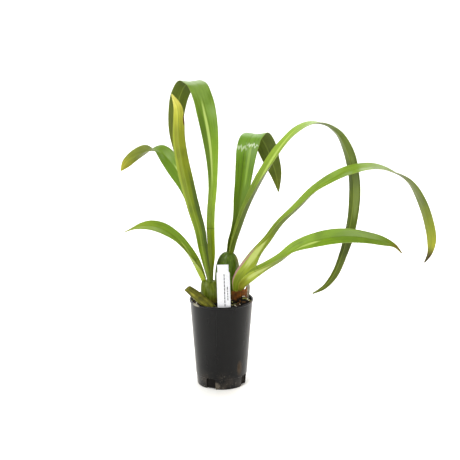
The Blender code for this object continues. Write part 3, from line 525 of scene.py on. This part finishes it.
def makePot():
    lipBase = pot["height"] - pot["lipHeight"]
    foot, rim, wall = pot["footRadius"] - pot["bandInset"], pot["rimRadius"], pot["wall"]
    bandTop = pot["bandHeight"]
    # radius and height of each ring, from the foot's edge up the outside and down the inside
    rings = [(foot - 1.0, 0), (foot - 0.3, 0.25), (foot, 1.0),
             (potRadius(bandTop) - pot["bandInset"], bandTop - 0.5), (potRadius(bandTop), bandTop - 0.1),
             (potRadius(bandTop) + 0.02, bandTop + 0.3),
             (potRadius(lipBase) - 0.05, lipBase - 0.7), (potRadius(lipBase), lipBase - 0.4),
             (rim - 0.2, lipBase), (rim, lipBase + 0.35), (rim, pot["height"] - 0.55),
             (rim - 0.2, pot["height"] - 0.15), (rim - 0.5, pot["height"]), (rim - 1.1, pot["height"] - 0.1),
             (potRadius(pot["height"]) - wall, pot["height"] - 0.5),
             (potRadius(pot["floor"] + 1) - wall, pot["floor"] + 1), (potRadius(0) - wall - 1, pot["floor"])]
    obj = primitive(bpy.ops.mesh.primitive_circle_add, "blackPot", vertices=pot["steps"],
                    radius=rings[0][0] * mm, fill_type="NGON")
    bpy.ops.object.mode_set(mode="EDIT")
    bpy.ops.mesh.select_all(action="SELECT")
    bpy.ops.mesh.select_mode(type="EDGE")
    bpy.ops.mesh.region_to_loop()
    for (radius, height), (nextRadius, nextHeight) in zip(rings, rings[1:]):
        bpy.ops.mesh.extrude_edges_move(
            TRANSFORM_OT_translate={"value": (0, 0, (nextHeight - height) * mm)})
        grow = nextRadius / radius
        bpy.ops.transform.resize(value=(grow, grow, 1), center_override=(0, 0, 0))
    bpy.ops.mesh.edge_face_add()
    bpy.ops.object.mode_set(mode="OBJECT")

    # drain notches through the corner between wall and floor
    inner, outer = pot["footRadius"] - pot["notchReach"], pot["footRadius"] + 4
    for index in range(pot["notchCount"]):
        tool = primitive(bpy.ops.mesh.primitive_cube_add, "notchTool", size=1)
        tool.scale = Vector((pot["notchWidth"], outer - inner, pot["bandHeight"] + 2)) * mm
        tool.location = Vector((0, -(inner + outer) / 2, (pot["bandHeight"] - 2) / 2)) * mm
        bpy.ops.object.transform_apply(location=True, rotation=True, scale=True)
        applyModifier(tool, "BEVEL", width=2 * mm, segments=4, limit_method="ANGLE")
        turn = math.radians(pot["notchTurn"] + index * 360 / pot["notchCount"])
        tool.data.transform(Matrix.Rotation(turn, 4, "Z"))
        applyModifier(obj, "BOOLEAN", operation="DIFFERENCE", solver="EXACT", object=tool)
        bpy.data.objects.remove(tool)

    # mould seam: a hair of plastic up the wall, left of the front
    seam = primitive(bpy.ops.mesh.primitive_cube_add, "mouldSeam", size=1)
    bottom, top = pot["seamBottom"], lipBase - 0.5
    lean = math.atan((potRadius(top) - potRadius(bottom)) / (top - bottom))
    seam.scale = Vector((pot["seamWidth"], 2 * pot["seamProud"], (top - bottom) / math.cos(lean))) * mm
    bpy.ops.object.transform_apply(location=True, rotation=True, scale=True)
    applyModifier(seam, "BEVEL", width=0.1 * mm, segments=2)
    middle = (bottom + top) / 2
    seam.data.transform(Matrix.Rotation(math.radians(pot["seamBearing"]), 4, "Z")
                        @ Matrix.Translation((0, -potRadius(middle) * mm, middle * mm))
                        @ Matrix.Rotation(lean, 4, "X"))
    joinPieces(obj, [seam])
    finishPiece(obj, blackPotMaterial(), "pot", 35)


makePot()
print("pot done")


# Potting mix: the CAD body keeps its place, loose bark, pumice and moss lie on it

mix = {
    "level": 97.5, "radius": 33.6, "crest": 105.0, "gap": 0.4, "seed": 11,   # gap to what stands in it
    "barkCount": 230, "barkSize": (2.6, 6.5),
    "pumiceCount": 40, "pumiceSize": (1.4, 2.8),
    "mossCount": 70, "mossSize": (1.6, 3.4),
    # grit that shows at the front right, as (x, y, size) in mm
    "frontGrit": [(26, -10, 2.2), (24.5, -12.5, 1.8), (27.5, -9.5, 1.6), (29.5, -13, 2.4), (21, -20, 2.0),
                  (17.5, -25, 1.7)],
}


def barkMaterial():
    # Composted pine bark: matt, flaky, from near black to orange brown
    made, tree, shader, place = newMaterial("compostedPineBark", 0.85, specular=0.2)
    tone = addNode(tree, "Attribute", attribute_name="tone").node.outputs["Fac"]
    grain = addNode(tree, "TexNoise", {"Vector": place, "Scale": 1 / (1.1 * mm), "Detail": 5.0})
    blend = addNode(tree, "Math", (grain, 0.5, addNode(tree, "Math", (tone, 0.25), operation="SUBTRACT")),
                    operation="MULTIPLY_ADD")
    colour = addNode(tree, "ValToRGB", (blend,), stops=[
        (0, "#0a0806"), (0.35, "#1e160d"), (0.6, "#362613"), (0.8, "#553719"), (1, "#8a5a28")])
    finishMaterial(tree, shader, colour, None, grain, 0.4 * mm, 0.8)
    return made


def pumiceMaterial():
    # Pumice and perlite: chalky pale grit with open pores
    made, tree, shader, place = newMaterial("chalkyPumice", 0.9)
    pores = addNode(tree, "TexVoronoi", {"Vector": place, "Scale": 1 / (0.7 * mm)})
    deep = addNode(tree, "MapRange", (pores, 0.25, 0.05), interpolation_type="SMOOTHSTEP")
    colour = addNode(tree, "Mix", {0: deep, 6: "#c4bfae", 7: "#857d68"}, data_type="RGBA")
    finishMaterial(tree, shader, colour, None, pores, 0.2 * mm, 0.7)
    return made


def mossMaterial():
    # Sphagnum strands: dry, yellow green to straw
    made, tree, shader, place = newMaterial("drySphagnum", 0.9)
    tone = addNode(tree, "Attribute", attribute_name="tone").node.outputs["Fac"]
    fibre = addNode(tree, "TexNoise", {"Vector": place, "Scale": 1 / (0.6 * mm), "Detail": 3.0})
    blend = addNode(tree, "Math", (fibre, 0.5, addNode(tree, "Math", (tone, 0.25), operation="SUBTRACT")),
                    operation="MULTIPLY_ADD")
    colour = addNode(tree, "ValToRGB", (blend,), stops=[
        (0, "#3c3a14"), (0.4, "#62642a"), (0.7, "#80833a"), (1, "#a9a36a")])
    finishMaterial(tree, shader, colour, None, fibre, 0.3 * mm, 0.8)
    return made


def crumb(name, squash, rough, seed):
    # one irregular crumb of about unit size, from a faceted ball
    obj = primitive(bpy.ops.mesh.primitive_ico_sphere_add, name, subdivisions=2, radius=0.5)
    for vert in obj.data.vertices:
        vert.co *= 1 + rough * noise.noise(vert.co * 2.6 + Vector((seed, 0, 0)))
        vert.co = Vector(a * b for a, b in zip(vert.co, squash))
    return obj


def scatter(name, bases, places, material):
    # copies of the bases joined in one piece, each with a tone of its own
    copies = []
    for index, (spot, size, turn, tone) in enumerate(places):
        mesh = bases[index % len(bases)].data.copy()
        mesh.transform(Matrix.Translation(spot) @ turn.to_4x4() @ Matrix.Scale(size, 4))
        flags = mesh.attributes.new("tone", "FLOAT", "POINT")
        flags.data.foreach_set("value", [tone] * len(mesh.vertices))
        obj = bpy.data.objects.new(f"{name}{index}", mesh)
        scene.collection.objects.link(obj)
        copies.append(obj)
    piece = joinPieces(copies[0], copies[1:])
    piece.name = name
    piece.data.name = name
    for base in bases:
        bpy.data.objects.remove(base)
    return finishPiece(piece, material, None, 35)


# what stands in the mix, as (x, y, half width, half depth) in mm: no crumb lies inside these
standing = [(-13.3, -7.5, 10.3, 8.0), (5, 17, 12.5, 8.8), (20.6, -0.9, 9.5, 10.3), (5.3, -30.5, 8.4, 1.6),
            (30, 7.5, 2.8, 2.4)]


def freeSpot(x, y, room):
    for cx, cy, halfWidth, halfDepth in standing:
        if ((x - cx) / (halfWidth + room)) ** 2 + ((y - cy) / (halfDepth + room)) ** 2 < 1:
            return False
    # the old stem lies across the front left
    return not (-40 < x < -2 and abs(y + 22) < 6.5 + room)


def mixTop(x, y):
    # height of the CAD mix under a place
    hit, point, _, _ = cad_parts["potting_mix"].ray_cast(
        Vector((x * mm, y * mm, 0.2)), Vector((0, 0, -1)))
    return point.z if hit else mix["level"] * mm


def crumbPlaces(rng, count, sizes, sink, tones):
    places = []
    while len(places) < count:
        away = mix["radius"] * math.sqrt(rng.random())
        bearing = rng.uniform(0, math.tau)
        size = rng.uniform(*sizes)
        x, y = away * math.cos(bearing), away * math.sin(bearing)
        tone = rng.uniform(*tones)
        turn = Matrix.Rotation(rng.uniform(0, math.tau), 3, "Z") @ Matrix.Rotation(
            rng.uniform(-0.5, 0.5), 3, "X")
        if not freeSpot(x, y, mix["gap"] + size * 0.35) or away + size * 0.5 > mix["radius"] + 0.3:
            continue
        spot = Vector((x * mm, y * mm, min(mixTop(x, y), mix["crest"] * mm) + (0.5 - sink) * size * 0.5 * mm))
        places.append((spot, size * mm, turn, tone))
    return places


def makeMix():
    rng = random.Random(mix["seed"])
    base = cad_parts["potting_mix"]
    bark = barkMaterial()
    base.data.materials.clear()
    base.data.materials.append(bark)
    chips = [crumb("barkA", (1.3, 0.8, 0.5), 0.5, 1), crumb("barkB", (1.1, 1.0, 0.45), 0.6, 5),
             crumb("barkC", (1.5, 0.6, 0.55), 0.45, 9)]
    scatter("barkChips", chips, crumbPlaces(rng, mix["barkCount"], mix["barkSize"], 0.35, (0, 0.85)), bark)
    grit = [crumb("pumiceA", (1, 0.9, 0.8), 0.35, 3), crumb("pumiceB", (0.9, 1.1, 0.7), 0.4, 8)]
    places = crumbPlaces(rng, mix["pumiceCount"], mix["pumiceSize"], -0.3, (0, 1))
    places += [(Vector((x * mm, y * mm, mixTop(x, y) + 0.4 * size * mm)), size * mm,
                Matrix.Rotation(size * 9, 3, "Z"), 0.5) for x, y, size in mix["frontGrit"]]
    scatter("pumiceGrit", grit, places, pumiceMaterial())
    tufts = [crumb("mossA", (1.5, 0.5, 0.4), 0.9, 4), crumb("mossB", (1.2, 0.7, 0.4), 0.9, 7)]
    scatter("mossTufts", tufts, crumbPlaces(rng, mix["mossCount"], mix["mossSize"], -0.4, (0.2, 1)),
            mossMaterial())


makeMix()
print("mix done")


# Growths: two ripened bulbs and a young growth, each a swollen stem with blunt ribs

columnTop = 104.0           # mm, below it each growth is a plain column in the mix
stemRings = 34

growths = {
    "leftBulb": {
        "node": "pseudobulb_left", "slot": "bulb_olive",
        "at": (-13.3, -7.5), "half": (9.9, 7.5), "lean": (-0.9, 0.6),
        "profile": [(88, 0.93), (104, 0.93), (108, 0.985), (112, 1.0), (116, 0.97), (119, 0.92),
                    (121.5, 0.87), (123, 0.84), (124.0, 0.8), (124.3, 0.6)],
        "ribs": 7, "ribShare": 0.02, "colours": ("#3c4806", "#566408", "#707c24"), "flushed": 0.35,
    },
    "centreBulb": {
        "node": "pseudobulb_centre", "slot": "bulb_green",
        "at": (5.0, 17.0), "half": (14.1, 9.5), "lean": (2.9, -1.5),
        "profile": [(88, 0.82), (104, 0.82), (107, 0.9), (115, 0.975), (123, 1.0), (131, 0.985),
                    (137, 0.93), (142, 0.84), (146, 0.71), (149, 0.55), (150.8, 0.42), (151.8, 0.33),
                    (152.0, 0.2)],
        "ribs": 7, "ribShare": 0.025, "colours": ("#2c3d04", "#476006", "#647c1c"), "flushed": 0.1,
    },
    "youngGrowth": {
        "node": "growth_right", "slot": "growth_green",
        "at": (20.6, -0.9), "half": (7.8, 8.4), "lean": (0, 0),
        "profile": [(88, 0.95), (104, 0.95), (106, 0.98), (108.5, 0.95), (109.4, 0.9), (109.6, 0.7)],
        "ribs": 5, "ribShare": 0.01, "colours": ("#6c7a1c", "#8c9834", "#a0a848"), "flushed": 0.2,
    },
}


def bulbMaterial(name, colours, flushed):
    # Ripened bulb skin: firm and waxy, streaked darker and lighter up its length, browning towards the foot
    made, tree, shader, place = newMaterial(name, 0.38, 1.45, 0.35)
    height = addNode(tree, "SeparateXYZ", (place,)).node.outputs[2]
    # streaks up the skin, about 1.4 mm wide
    tall = addNode(tree, "Mapping", {0: place, 3: (1 / (1.4 * mm), 1 / (1.4 * mm), 1 / (30 * mm))})
    streaks = addNode(tree, "TexNoise", {"Vector": tall, "Scale": 1.0, "Detail": 3.0})
    bloom = addNode(tree, "TexNoise", {"Vector": place, "Scale": 1 / (7 * mm), "Detail": 4.0})
    colour = addNode(tree, "ValToRGB", (streaks,), stops=list(zip((0.25, 0.55, 0.85), colours)))
    # a thin grey bloom lies on the skin in patches
    grey = addNode(tree, "MapRange", (bloom, 0.5, 0.8, 0.0, 0.25), interpolation_type="SMOOTHSTEP")
    colour = addNode(tree, "Mix", {0: grey, 6: colour, 7: "#8f9a70"}, data_type="RGBA")
    edge = addNode(tree, "Math", (bloom, 0.02, height), operation="MULTIPLY_ADD")
    foot = addNode(tree, "MapRange", (edge, 118 * mm, 107 * mm, 0.0, flushed * 2),
                   interpolation_type="SMOOTHSTEP")
    colour = addNode(tree, "Mix", {0: foot, 6: colour, 7: "#4a3312"}, data_type="RGBA")
    roughness = addNode(tree, "Math", (streaks, 0.2, 0.28), operation="MULTIPLY_ADD")
    finishMaterial(tree, shader, colour, roughness, streaks, 0.15 * mm, 0.5)
    return made


def makeGrowth(name, growth):
    heights, shares = zip(*growth["profile"])
    bottom, top = heights[0], heights[-1]
    obj = ringCylinder(name, 56, stemRings)
    for vert in obj.data.vertices:
        height = bottom + (top - bottom) * (vert.co.z + 1) / 2
        reach = math.hypot(vert.co.x, vert.co.y)
        bearing = math.atan2(vert.co.y, vert.co.x)
        above = max(0.0, (height - columnTop) / (top - columnTop))
        ribs = growth["ribShare"] * min(1, 3 * above) * math.cos(growth["ribs"] * bearing)
        lumps = 0.02 * noise.noise(Vector((math.cos(bearing), math.sin(bearing), height / 14)) * 1.7)
        swell = float(np.interp(height, heights, shares)) * reach * (1 + ribs + lumps)
        vert.co = Vector((
            growth["at"][0] + growth["lean"][0] * above + growth["half"][0] * swell * math.cos(bearing),
            growth["at"][1] + growth["lean"][1] * above + growth["half"][1] * swell * math.sin(bearing),
            height)) * mm
    applyModifier(obj, "SUBSURF", levels=1)
    made = bulbMaterial(name + "Skin", growth["colours"], growth["flushed"])
    finishPiece(obj, made, growth["node"])


for name, growth in growths.items():
    makeGrowth(name, growth)
print("growths:", len(growths))


# Dry pieces: sheaths, the bract and the cut stem

drySheaths = {
    "rustSheath": {
        "node": "sheath_right", "slot": "rust_sheath", "at": (20.6, -0.9), "half": (8.7, 9.5),
        "bearings": (-182, 22), "foot": 92,
        "tops": (108, 111.5, 110.5, 112, 111.4, 113, 112.4, 114.5, 114, 115.5, 116, 114, 110),
        "colours": [(0.25, "#2e1a04"), (0.52, "#5c3606"), (0.8, "#94530e")],
    },
    "brownScale": {
        "node": "scale_left", "slot": "brown_scale", "at": (-13.3, -7.5), "half": (10.5, 8.2),
        "bearings": (165, 285), "foot": 100.5,
        "tops": (106.5, 108.5, 105, 106, 103.2, 103.8, 102.6, 103.6, 102.4),
        "colours": [(0.25, "#2c1a0a"), (0.52, "#4f3214"), (0.8, "#735022")],
    },
}


def dryMaterial(name, stops, roughness=0.75, fibre=(0.8, 12), blotch=5, depth=0.25, lean=(0, 0, 0)):
    # Dried skin of a leaf base or cane: matt, papery fibres that run along it, darker where they lie thick.
    # Fibres have a width and a length, and with the blotches and their depth they are in mm
    made, tree, shader, place = newMaterial(name, roughness, specular=0.3)
    turned = addNode(tree, "Mapping", {0: place, 2: lean})
    width, length = [1 / (size * mm) for size in fibre]
    drawn = addNode(tree, "Mapping", {0: turned, 3: (width, width, length)})
    fibres = addNode(tree, "TexNoise", {"Vector": drawn, "Scale": 1.0, "Detail": 4.0})
    blotches = addNode(tree, "TexNoise", {"Vector": place, "Scale": 1 / (blotch * mm), "Detail": 3.0})
    centred = addNode(tree, "Math", (fibres, 0.45), operation="SUBTRACT")
    blend = addNode(tree, "Math", (blotches, 0.9, centred), operation="MULTIPLY_ADD")
    colour = addNode(tree, "ValToRGB", (blend,), stops=stops)
    finishMaterial(tree, shader, colour, None, fibres, depth * mm, 0.8)
    return made


def makeSheath(name, sheath):
    tops = sheath["tops"]
    obj = primitive(bpy.ops.mesh.primitive_grid_add, name, x_subdivisions=6 * (len(tops) - 1),
                    y_subdivisions=12, size=2)
    first, last = sheath["bearings"]
    for vert in obj.data.vertices:
        share, rise = (vert.co.x + 1) / 2, (vert.co.y + 1) / 2
        bearing = math.radians(first + (last - first) * share)
        ragged = float(np.interp(share * (len(tops) - 1), range(len(tops)), tops))
        ragged += 0.5 * noise.noise(Vector((share * 40, 3.0, 0)))
        fibre = 0.12 * noise.noise(Vector((share * 55, rise * 1.5, 0)))
        spread = 1 + 0.02 * rise ** 3 + fibre / sheath["half"][1]
        vert.co = Vector((sheath["at"][0] + sheath["half"][0] * spread * math.cos(bearing),
                          sheath["at"][1] + sheath["half"][1] * spread * math.sin(bearing),
                          sheath["foot"] + (ragged - sheath["foot"]) * rise)) * mm
    applyModifier(obj, "SOLIDIFY", thickness=0.45 * mm, offset=0)
    applyModifier(obj, "SUBSURF", levels=1)
    finishPiece(obj, dryMaterial(name + "Fibre", sheath["colours"]), sheath["node"])


bract = {
    "at": (30.0, 7.5), "turn": 40, "straight": 100, "bow": 1.6, "curl": 1.2,
    "outline": [(90, 2.5), (101, 2.5), (105, 3.3), (109, 3.6), (112, 3.3), (115, 2.5), (117.5, 1.0)],
    "colours": [(0.25, "#77725f"), (0.52, "#a19d8a"), (0.8, "#c9c5b4")],
}


def makeBract():
    obj = primitive(bpy.ops.mesh.primitive_grid_add, "paperyBract", x_subdivisions=10, y_subdivisions=26,
                    size=2)
    heights, widths = zip(*bract["outline"])
    place = Matrix.Translation((bract["at"][0] * mm, bract["at"][1] * mm, 0)) @ Matrix.Rotation(
        math.radians(bract["turn"]), 4, "Z")
    for vert in obj.data.vertices:
        step = vert.co.x
        height = heights[0] + (heights[-1] - heights[0]) * (vert.co.y + 1) / 2
        above = max(0.0, height - bract["straight"]) / (heights[-1] - bract["straight"])
        bow = bract["bow"] * above * (1 - step * step) - bract["curl"] * above * above
        crumple = 0.25 * noise.noise(Vector((step * 3, height / 3, 5)))
        vert.co = place @ (Vector((float(np.interp(height, heights, widths)) * step, bow + crumple,
                                   height)) * mm)
    applyModifier(obj, "SOLIDIFY", thickness=0.4 * mm, offset=0)
    applyModifier(obj, "SUBSURF", levels=1)
    finishPiece(obj, dryMaterial("bleachedBract", bract["colours"], 0.6), "bract_papery")


oldStem = {
    "foot": (-8.0, -22.0, 94.0), "tip": (-38.5, -22.0, 119.6),
    "radii": ((0, 5.0), (0.2, 5.3), (0.45, 5.4), (0.7, 5.1), (0.88, 4.5), (1, 4.0)),
    "slant": 1.0, "cutFrom": 0.97,     # share of the length where the ragged cut starts
    "colours": [(0.2, "#2a2808"), (0.42, "#454608"), (0.6, "#5f5e0e"), (0.8, "#7c7a28")],
}


def makeOldStem():
    obj = ringCylinder("oldStem", 48, 26)
    foot, tip = Vector(oldStem["foot"]), Vector(oldStem["tip"])
    axis = (tip - foot).normalized()
    across = axis.cross(Vector((0, 1, 0))).normalized()
    up = axis.cross(across)
    shares, radii = zip(*oldStem["radii"])
    for vert in obj.data.vertices:
        share = (vert.co.z + 1) / 2
        reach = math.hypot(vert.co.x, vert.co.y)
        turn = math.atan2(vert.co.y, vert.co.x)
        radius = float(np.interp(share, shares, radii)) * (1 + 0.04 * math.cos(3 * turn + 4 * share))
        radius *= 1 + 0.035 * noise.noise(Vector((math.cos(turn) * 9, math.sin(turn) * 9, share * 2)))
        out = oldStem["slant"] * math.cos(turn) * reach if share > oldStem["cutFrom"] else 0
        if share > oldStem["cutFrom"]:
            out += 0.7 * noise.noise(Vector((vert.co.x * 5, vert.co.y * 5, 2))) - 0.9 * (1 - reach)
        centre = foot + axis * ((tip - foot).length * share + out)
        vert.co = (centre + (across * math.cos(turn) + up * math.sin(turn)) * radius * reach) * mm
    applyModifier(obj, "SUBSURF", levels=1)
    lean = axis.to_track_quat("Z", "Y").inverted().to_euler()
    made = dryMaterial("oldStemFibre", oldStem["colours"], fibre=(1.0, 18), blotch=6, depth=0.35, lean=lean)
    finishPiece(obj, made, "old_stem")


for name, sheath in drySheaths.items():
    makeSheath(name, sheath)
makeBract()
makeOldStem()
print("dry pieces done")


# Plant label: a stamped strip, bare apart from two rows of plain dashes

label = {
    "halfWidth": 7.3, "halfHead": 6.2, "shoulder": 91.0, "length": 100.5, "point": 14.0,
    "thickness": 0.8, "at": (4.9, -27.4, 50.0), "tilt": -1.7,
    "rows": [(1.0, 52.5, 89.5, 1.0), (4.4, 58.0, 74.5, 0.9)],   # x, from, to, dash width
    "dash": (1.6, 3.8), "dashGap": 0.8,
}


def labelPlastic():
    # White polystyrene label stock: satin, a little rough from its rolled surface
    made, tree, shader, place = newMaterial("whiteLabelStock", 0.5, 1.5, 0.35)
    pebbles = addNode(tree, "TexNoise", {"Vector": place, "Scale": 1 / (0.9 * mm), "Detail": 3.0})
    smear = addNode(tree, "TexNoise", {"Vector": place, "Scale": 1 / (9 * mm), "Detail": 3.0})
    bright = addNode(tree, "MapRange", (pebbles, 0.35, 0.7), interpolation_type="SMOOTHSTEP")
    colour = addNode(tree, "Mix", {0: bright, 6: "#c6c8cd", 7: "#dadbdf"}, data_type="RGBA")
    dull = addNode(tree, "MapRange", (smear, 0.55, 0.8, 0.0, 0.2), interpolation_type="SMOOTHSTEP")
    colour = addNode(tree, "Mix", {0: dull, 6: colour, 7: "#a8a79f"}, data_type="RGBA")
    roughness = addNode(tree, "Math", (pebbles, 0.2, 0.4), operation="MULTIPLY_ADD")
    finishMaterial(tree, shader, colour, roughness, pebbles, 0.08 * mm, 0.5)
    return made


def printInk():
    # Thermal transfer ink: flat dark grey film, a little worn
    made, tree, shader, place = newMaterial("greyPrintInk", 0.55)
    worn = addNode(tree, "TexNoise", {"Vector": place, "Scale": 1 / (0.5 * mm), "Detail": 3.0})
    share = addNode(tree, "MapRange", (worn, 0.3, 0.75), interpolation_type="SMOOTHSTEP")
    colour = addNode(tree, "Mix", {0: share, 6: "#1c1d24", 7: "#3c3e48"}, data_type="RGBA")
    finishMaterial(tree, shader, colour, None, worn, 0.02 * mm, 0.3)
    return made


def labelPlace():
    lean = math.atan((pot["rimRadius"] - pot["footRadius"]) / pot["height"])
    return (Matrix.Translation(Vector(label["at"]) * mm) @ Matrix.Rotation(lean, 4, "X")
            @ Matrix.Rotation(math.radians(label["tilt"]), 4, "Y"))


def makeLabel():
    half, head = label["halfWidth"], label["halfHead"]
    obj = primitive(bpy.ops.mesh.primitive_cube_add, "plantLabel", size=1)
    body = label["shoulder"] - label["point"]
    obj.scale = Vector((2 * half, label["thickness"], body)) * mm
    obj.location = Vector((0, 0, label["point"] + body / 2)) * mm
    bpy.ops.object.transform_apply(location=True, rotation=True, scale=True)
    # head up from the shoulder, then the point down into the mix
    for up, steps in ((1, ((1.0, head / half), (label["length"] - label["shoulder"] - 1, 1))),
                      (-1, ((label["point"], 0.03),))):
        bpy.ops.object.mode_set(mode="EDIT")
        bpy.ops.mesh.select_mode(type="FACE")
        bpy.ops.mesh.select_all(action="DESELECT")
        bpy.ops.object.mode_set(mode="OBJECT")
        for polygon in obj.data.polygons:
            polygon.select = polygon.normal.z * up > 0.9
        bpy.ops.object.mode_set(mode="EDIT")
        for rise, narrow in steps:
            bpy.ops.mesh.extrude_region_move(TRANSFORM_OT_translate={"value": (0, 0, up * rise * mm)})
            bpy.ops.transform.resize(value=(narrow, 1, 1), center_override=(0, 0, 0))
    bpy.ops.object.mode_set(mode="OBJECT")
    applyModifier(obj, "BEVEL", width=0.18 * mm, segments=2, limit_method="ANGLE")
    obj.data.transform(labelPlace())
    finishPiece(obj, labelPlastic(), "label", 35)

    rng = random.Random(5)
    dashes = []
    for x, low, high, width in label["rows"]:
        z = high
        while z > low:
            long = rng.uniform(*label["dash"])
            dash = primitive(bpy.ops.mesh.primitive_cube_add, "dash", size=1)
            dash.scale = Vector((width, 0.06, long)) * mm
            dash.location = Vector((x, -label["thickness"] / 2 - 0.02, z - long / 2)) * mm
            bpy.ops.object.transform_apply(location=True, rotation=True, scale=True)
            applyModifier(dash, "BEVEL", width=0.02 * mm, segments=1)
            dashes.append(dash)
            z -= long + label["dashGap"]
    marks = joinPieces(dashes[0], dashes[1:])
    marks.name = "labelDashes"
    marks.data.transform(labelPlace())
    finishPiece(marks, printInk(), None, 35)


makeLabel()
print("label done")


# Studio: pale sweep, soft lights, the camera at the photo's angle

studio = {
    "floorColour": "#fafaf9", "floorWidth": 6.0, "floorFront": -2.5, "floorBack": 2.6, "wallHeight": 3.2,
    "sweepRadius": 0.9,
    "cameraAt": (0.00988, -1.20427, 0.47003), "cameraPitch": 76.5, "focalPixels": 1100, "imagePixels": 460,
    "worldColour": "#ffffff", "worldStrength": 0.5,
    # name: place, aim, size, watts, colour
    "lights": {
        "keyLight": ((-0.7, -1.1, 1.15), (0.03, 0, 0.18), (0.7, 0.7), 21, "#fffdf6"),
        "fillLight": ((1.3, -1.0, 0.75), (0.03, 0, 0.15), (1.0, 1.0), 5, "#ffffff"),
        "backLight": ((0.2, 1.1, 1.3), (0.03, 0, 0.2), (1.2, 0.8), 10, "#ffffff"),
        "washLight": ((0, 0.9, 1.9), (0, 2.2, 0), (3.0, 0.8), 45, "#ffffff"),
        "warmLight": ((0.85, 0.62, 0.2), (0.03, 0, 0.06), (0.22, 0.3), 2.5, "#ffc58a"),
        "sideLight": ((-0.9, -0.75, 0.25), (-0.01, 0, 0.06), (0.3, 0.4), 2.0, "#ffffff"),
    },
}


def makeStudio():
    floor = primitive(bpy.ops.mesh.primitive_plane_add, "paleSweep", size=1)
    for vert in floor.data.vertices:
        vert.co.x *= studio["floorWidth"]
        vert.co.y = studio["floorFront"] if vert.co.y < 0 else studio["floorBack"]
    bpy.ops.object.mode_set(mode="EDIT")
    bpy.ops.mesh.select_all(action="DESELECT")
    bpy.ops.object.mode_set(mode="OBJECT")
    for edge in floor.data.edges:
        edge.select = all(floor.data.vertices[i].co.y > 0 for i in edge.vertices)
    bpy.ops.object.mode_set(mode="EDIT")
    bpy.ops.mesh.select_mode(type="EDGE")
    bpy.ops.mesh.extrude_edges_move(TRANSFORM_OT_translate={"value": (0, 0, studio["wallHeight"])})
    bpy.ops.object.mode_set(mode="OBJECT")
    applyModifier(floor, "BEVEL", width=studio["sweepRadius"], segments=14, limit_method="ANGLE")
    makeActive(floor)
    bpy.ops.object.shade_smooth()
    # Seamless paper: matt, with the faint cloudiness of its pulp
    made, tree, shader, place = newMaterial("paleSeamlessPaper", 0.9)
    pulp = addNode(tree, "TexNoise", {"Vector": place, "Scale": 1 / (30 * mm), "Detail": 2.0})
    share = addNode(tree, "Math", (pulp, 0.03), operation="MULTIPLY")
    colour = addNode(tree, "Mix", {0: share, 6: studio["floorColour"], 7: "#e9e9e6"}, data_type="RGBA")
    finishMaterial(tree, shader, colour)
    floor.data.materials.append(made)

    for name, (at, aim, size, watts, colour) in studio["lights"].items():
        bpy.ops.object.light_add(type="AREA", location=at)
        lamp = bpy.context.object
        lamp.name = name
        lamp.data.shape = "RECTANGLE"
        lamp.data.size, lamp.data.size_y = size
        lamp.data.energy = watts
        lamp.data.color = hexColour(colour)[:3]
        lamp.rotation_euler = (Vector(aim) - Vector(at)).to_track_quat("-Z", "Y").to_euler()

    world = bpy.data.worlds.new("studioWorld")
    world.use_nodes = True
    background = world.node_tree.nodes["Background"]
    background.inputs[0].default_value = hexColour(studio["worldColour"])
    background.inputs[1].default_value = studio["worldStrength"]
    scene.world = world

    bpy.ops.object.camera_add(location=studio["cameraAt"],
                              rotation=(math.radians(studio["cameraPitch"]), 0, 0))
    camera = bpy.context.object
    camera.data.sensor_width = 36
    camera.data.lens = studio["focalPixels"] / studio["imagePixels"] * 36
    camera.data.clip_end = 50
    scene.camera = camera
    scene.view_settings.view_transform = "Standard"


makeStudio()
print("studio done")
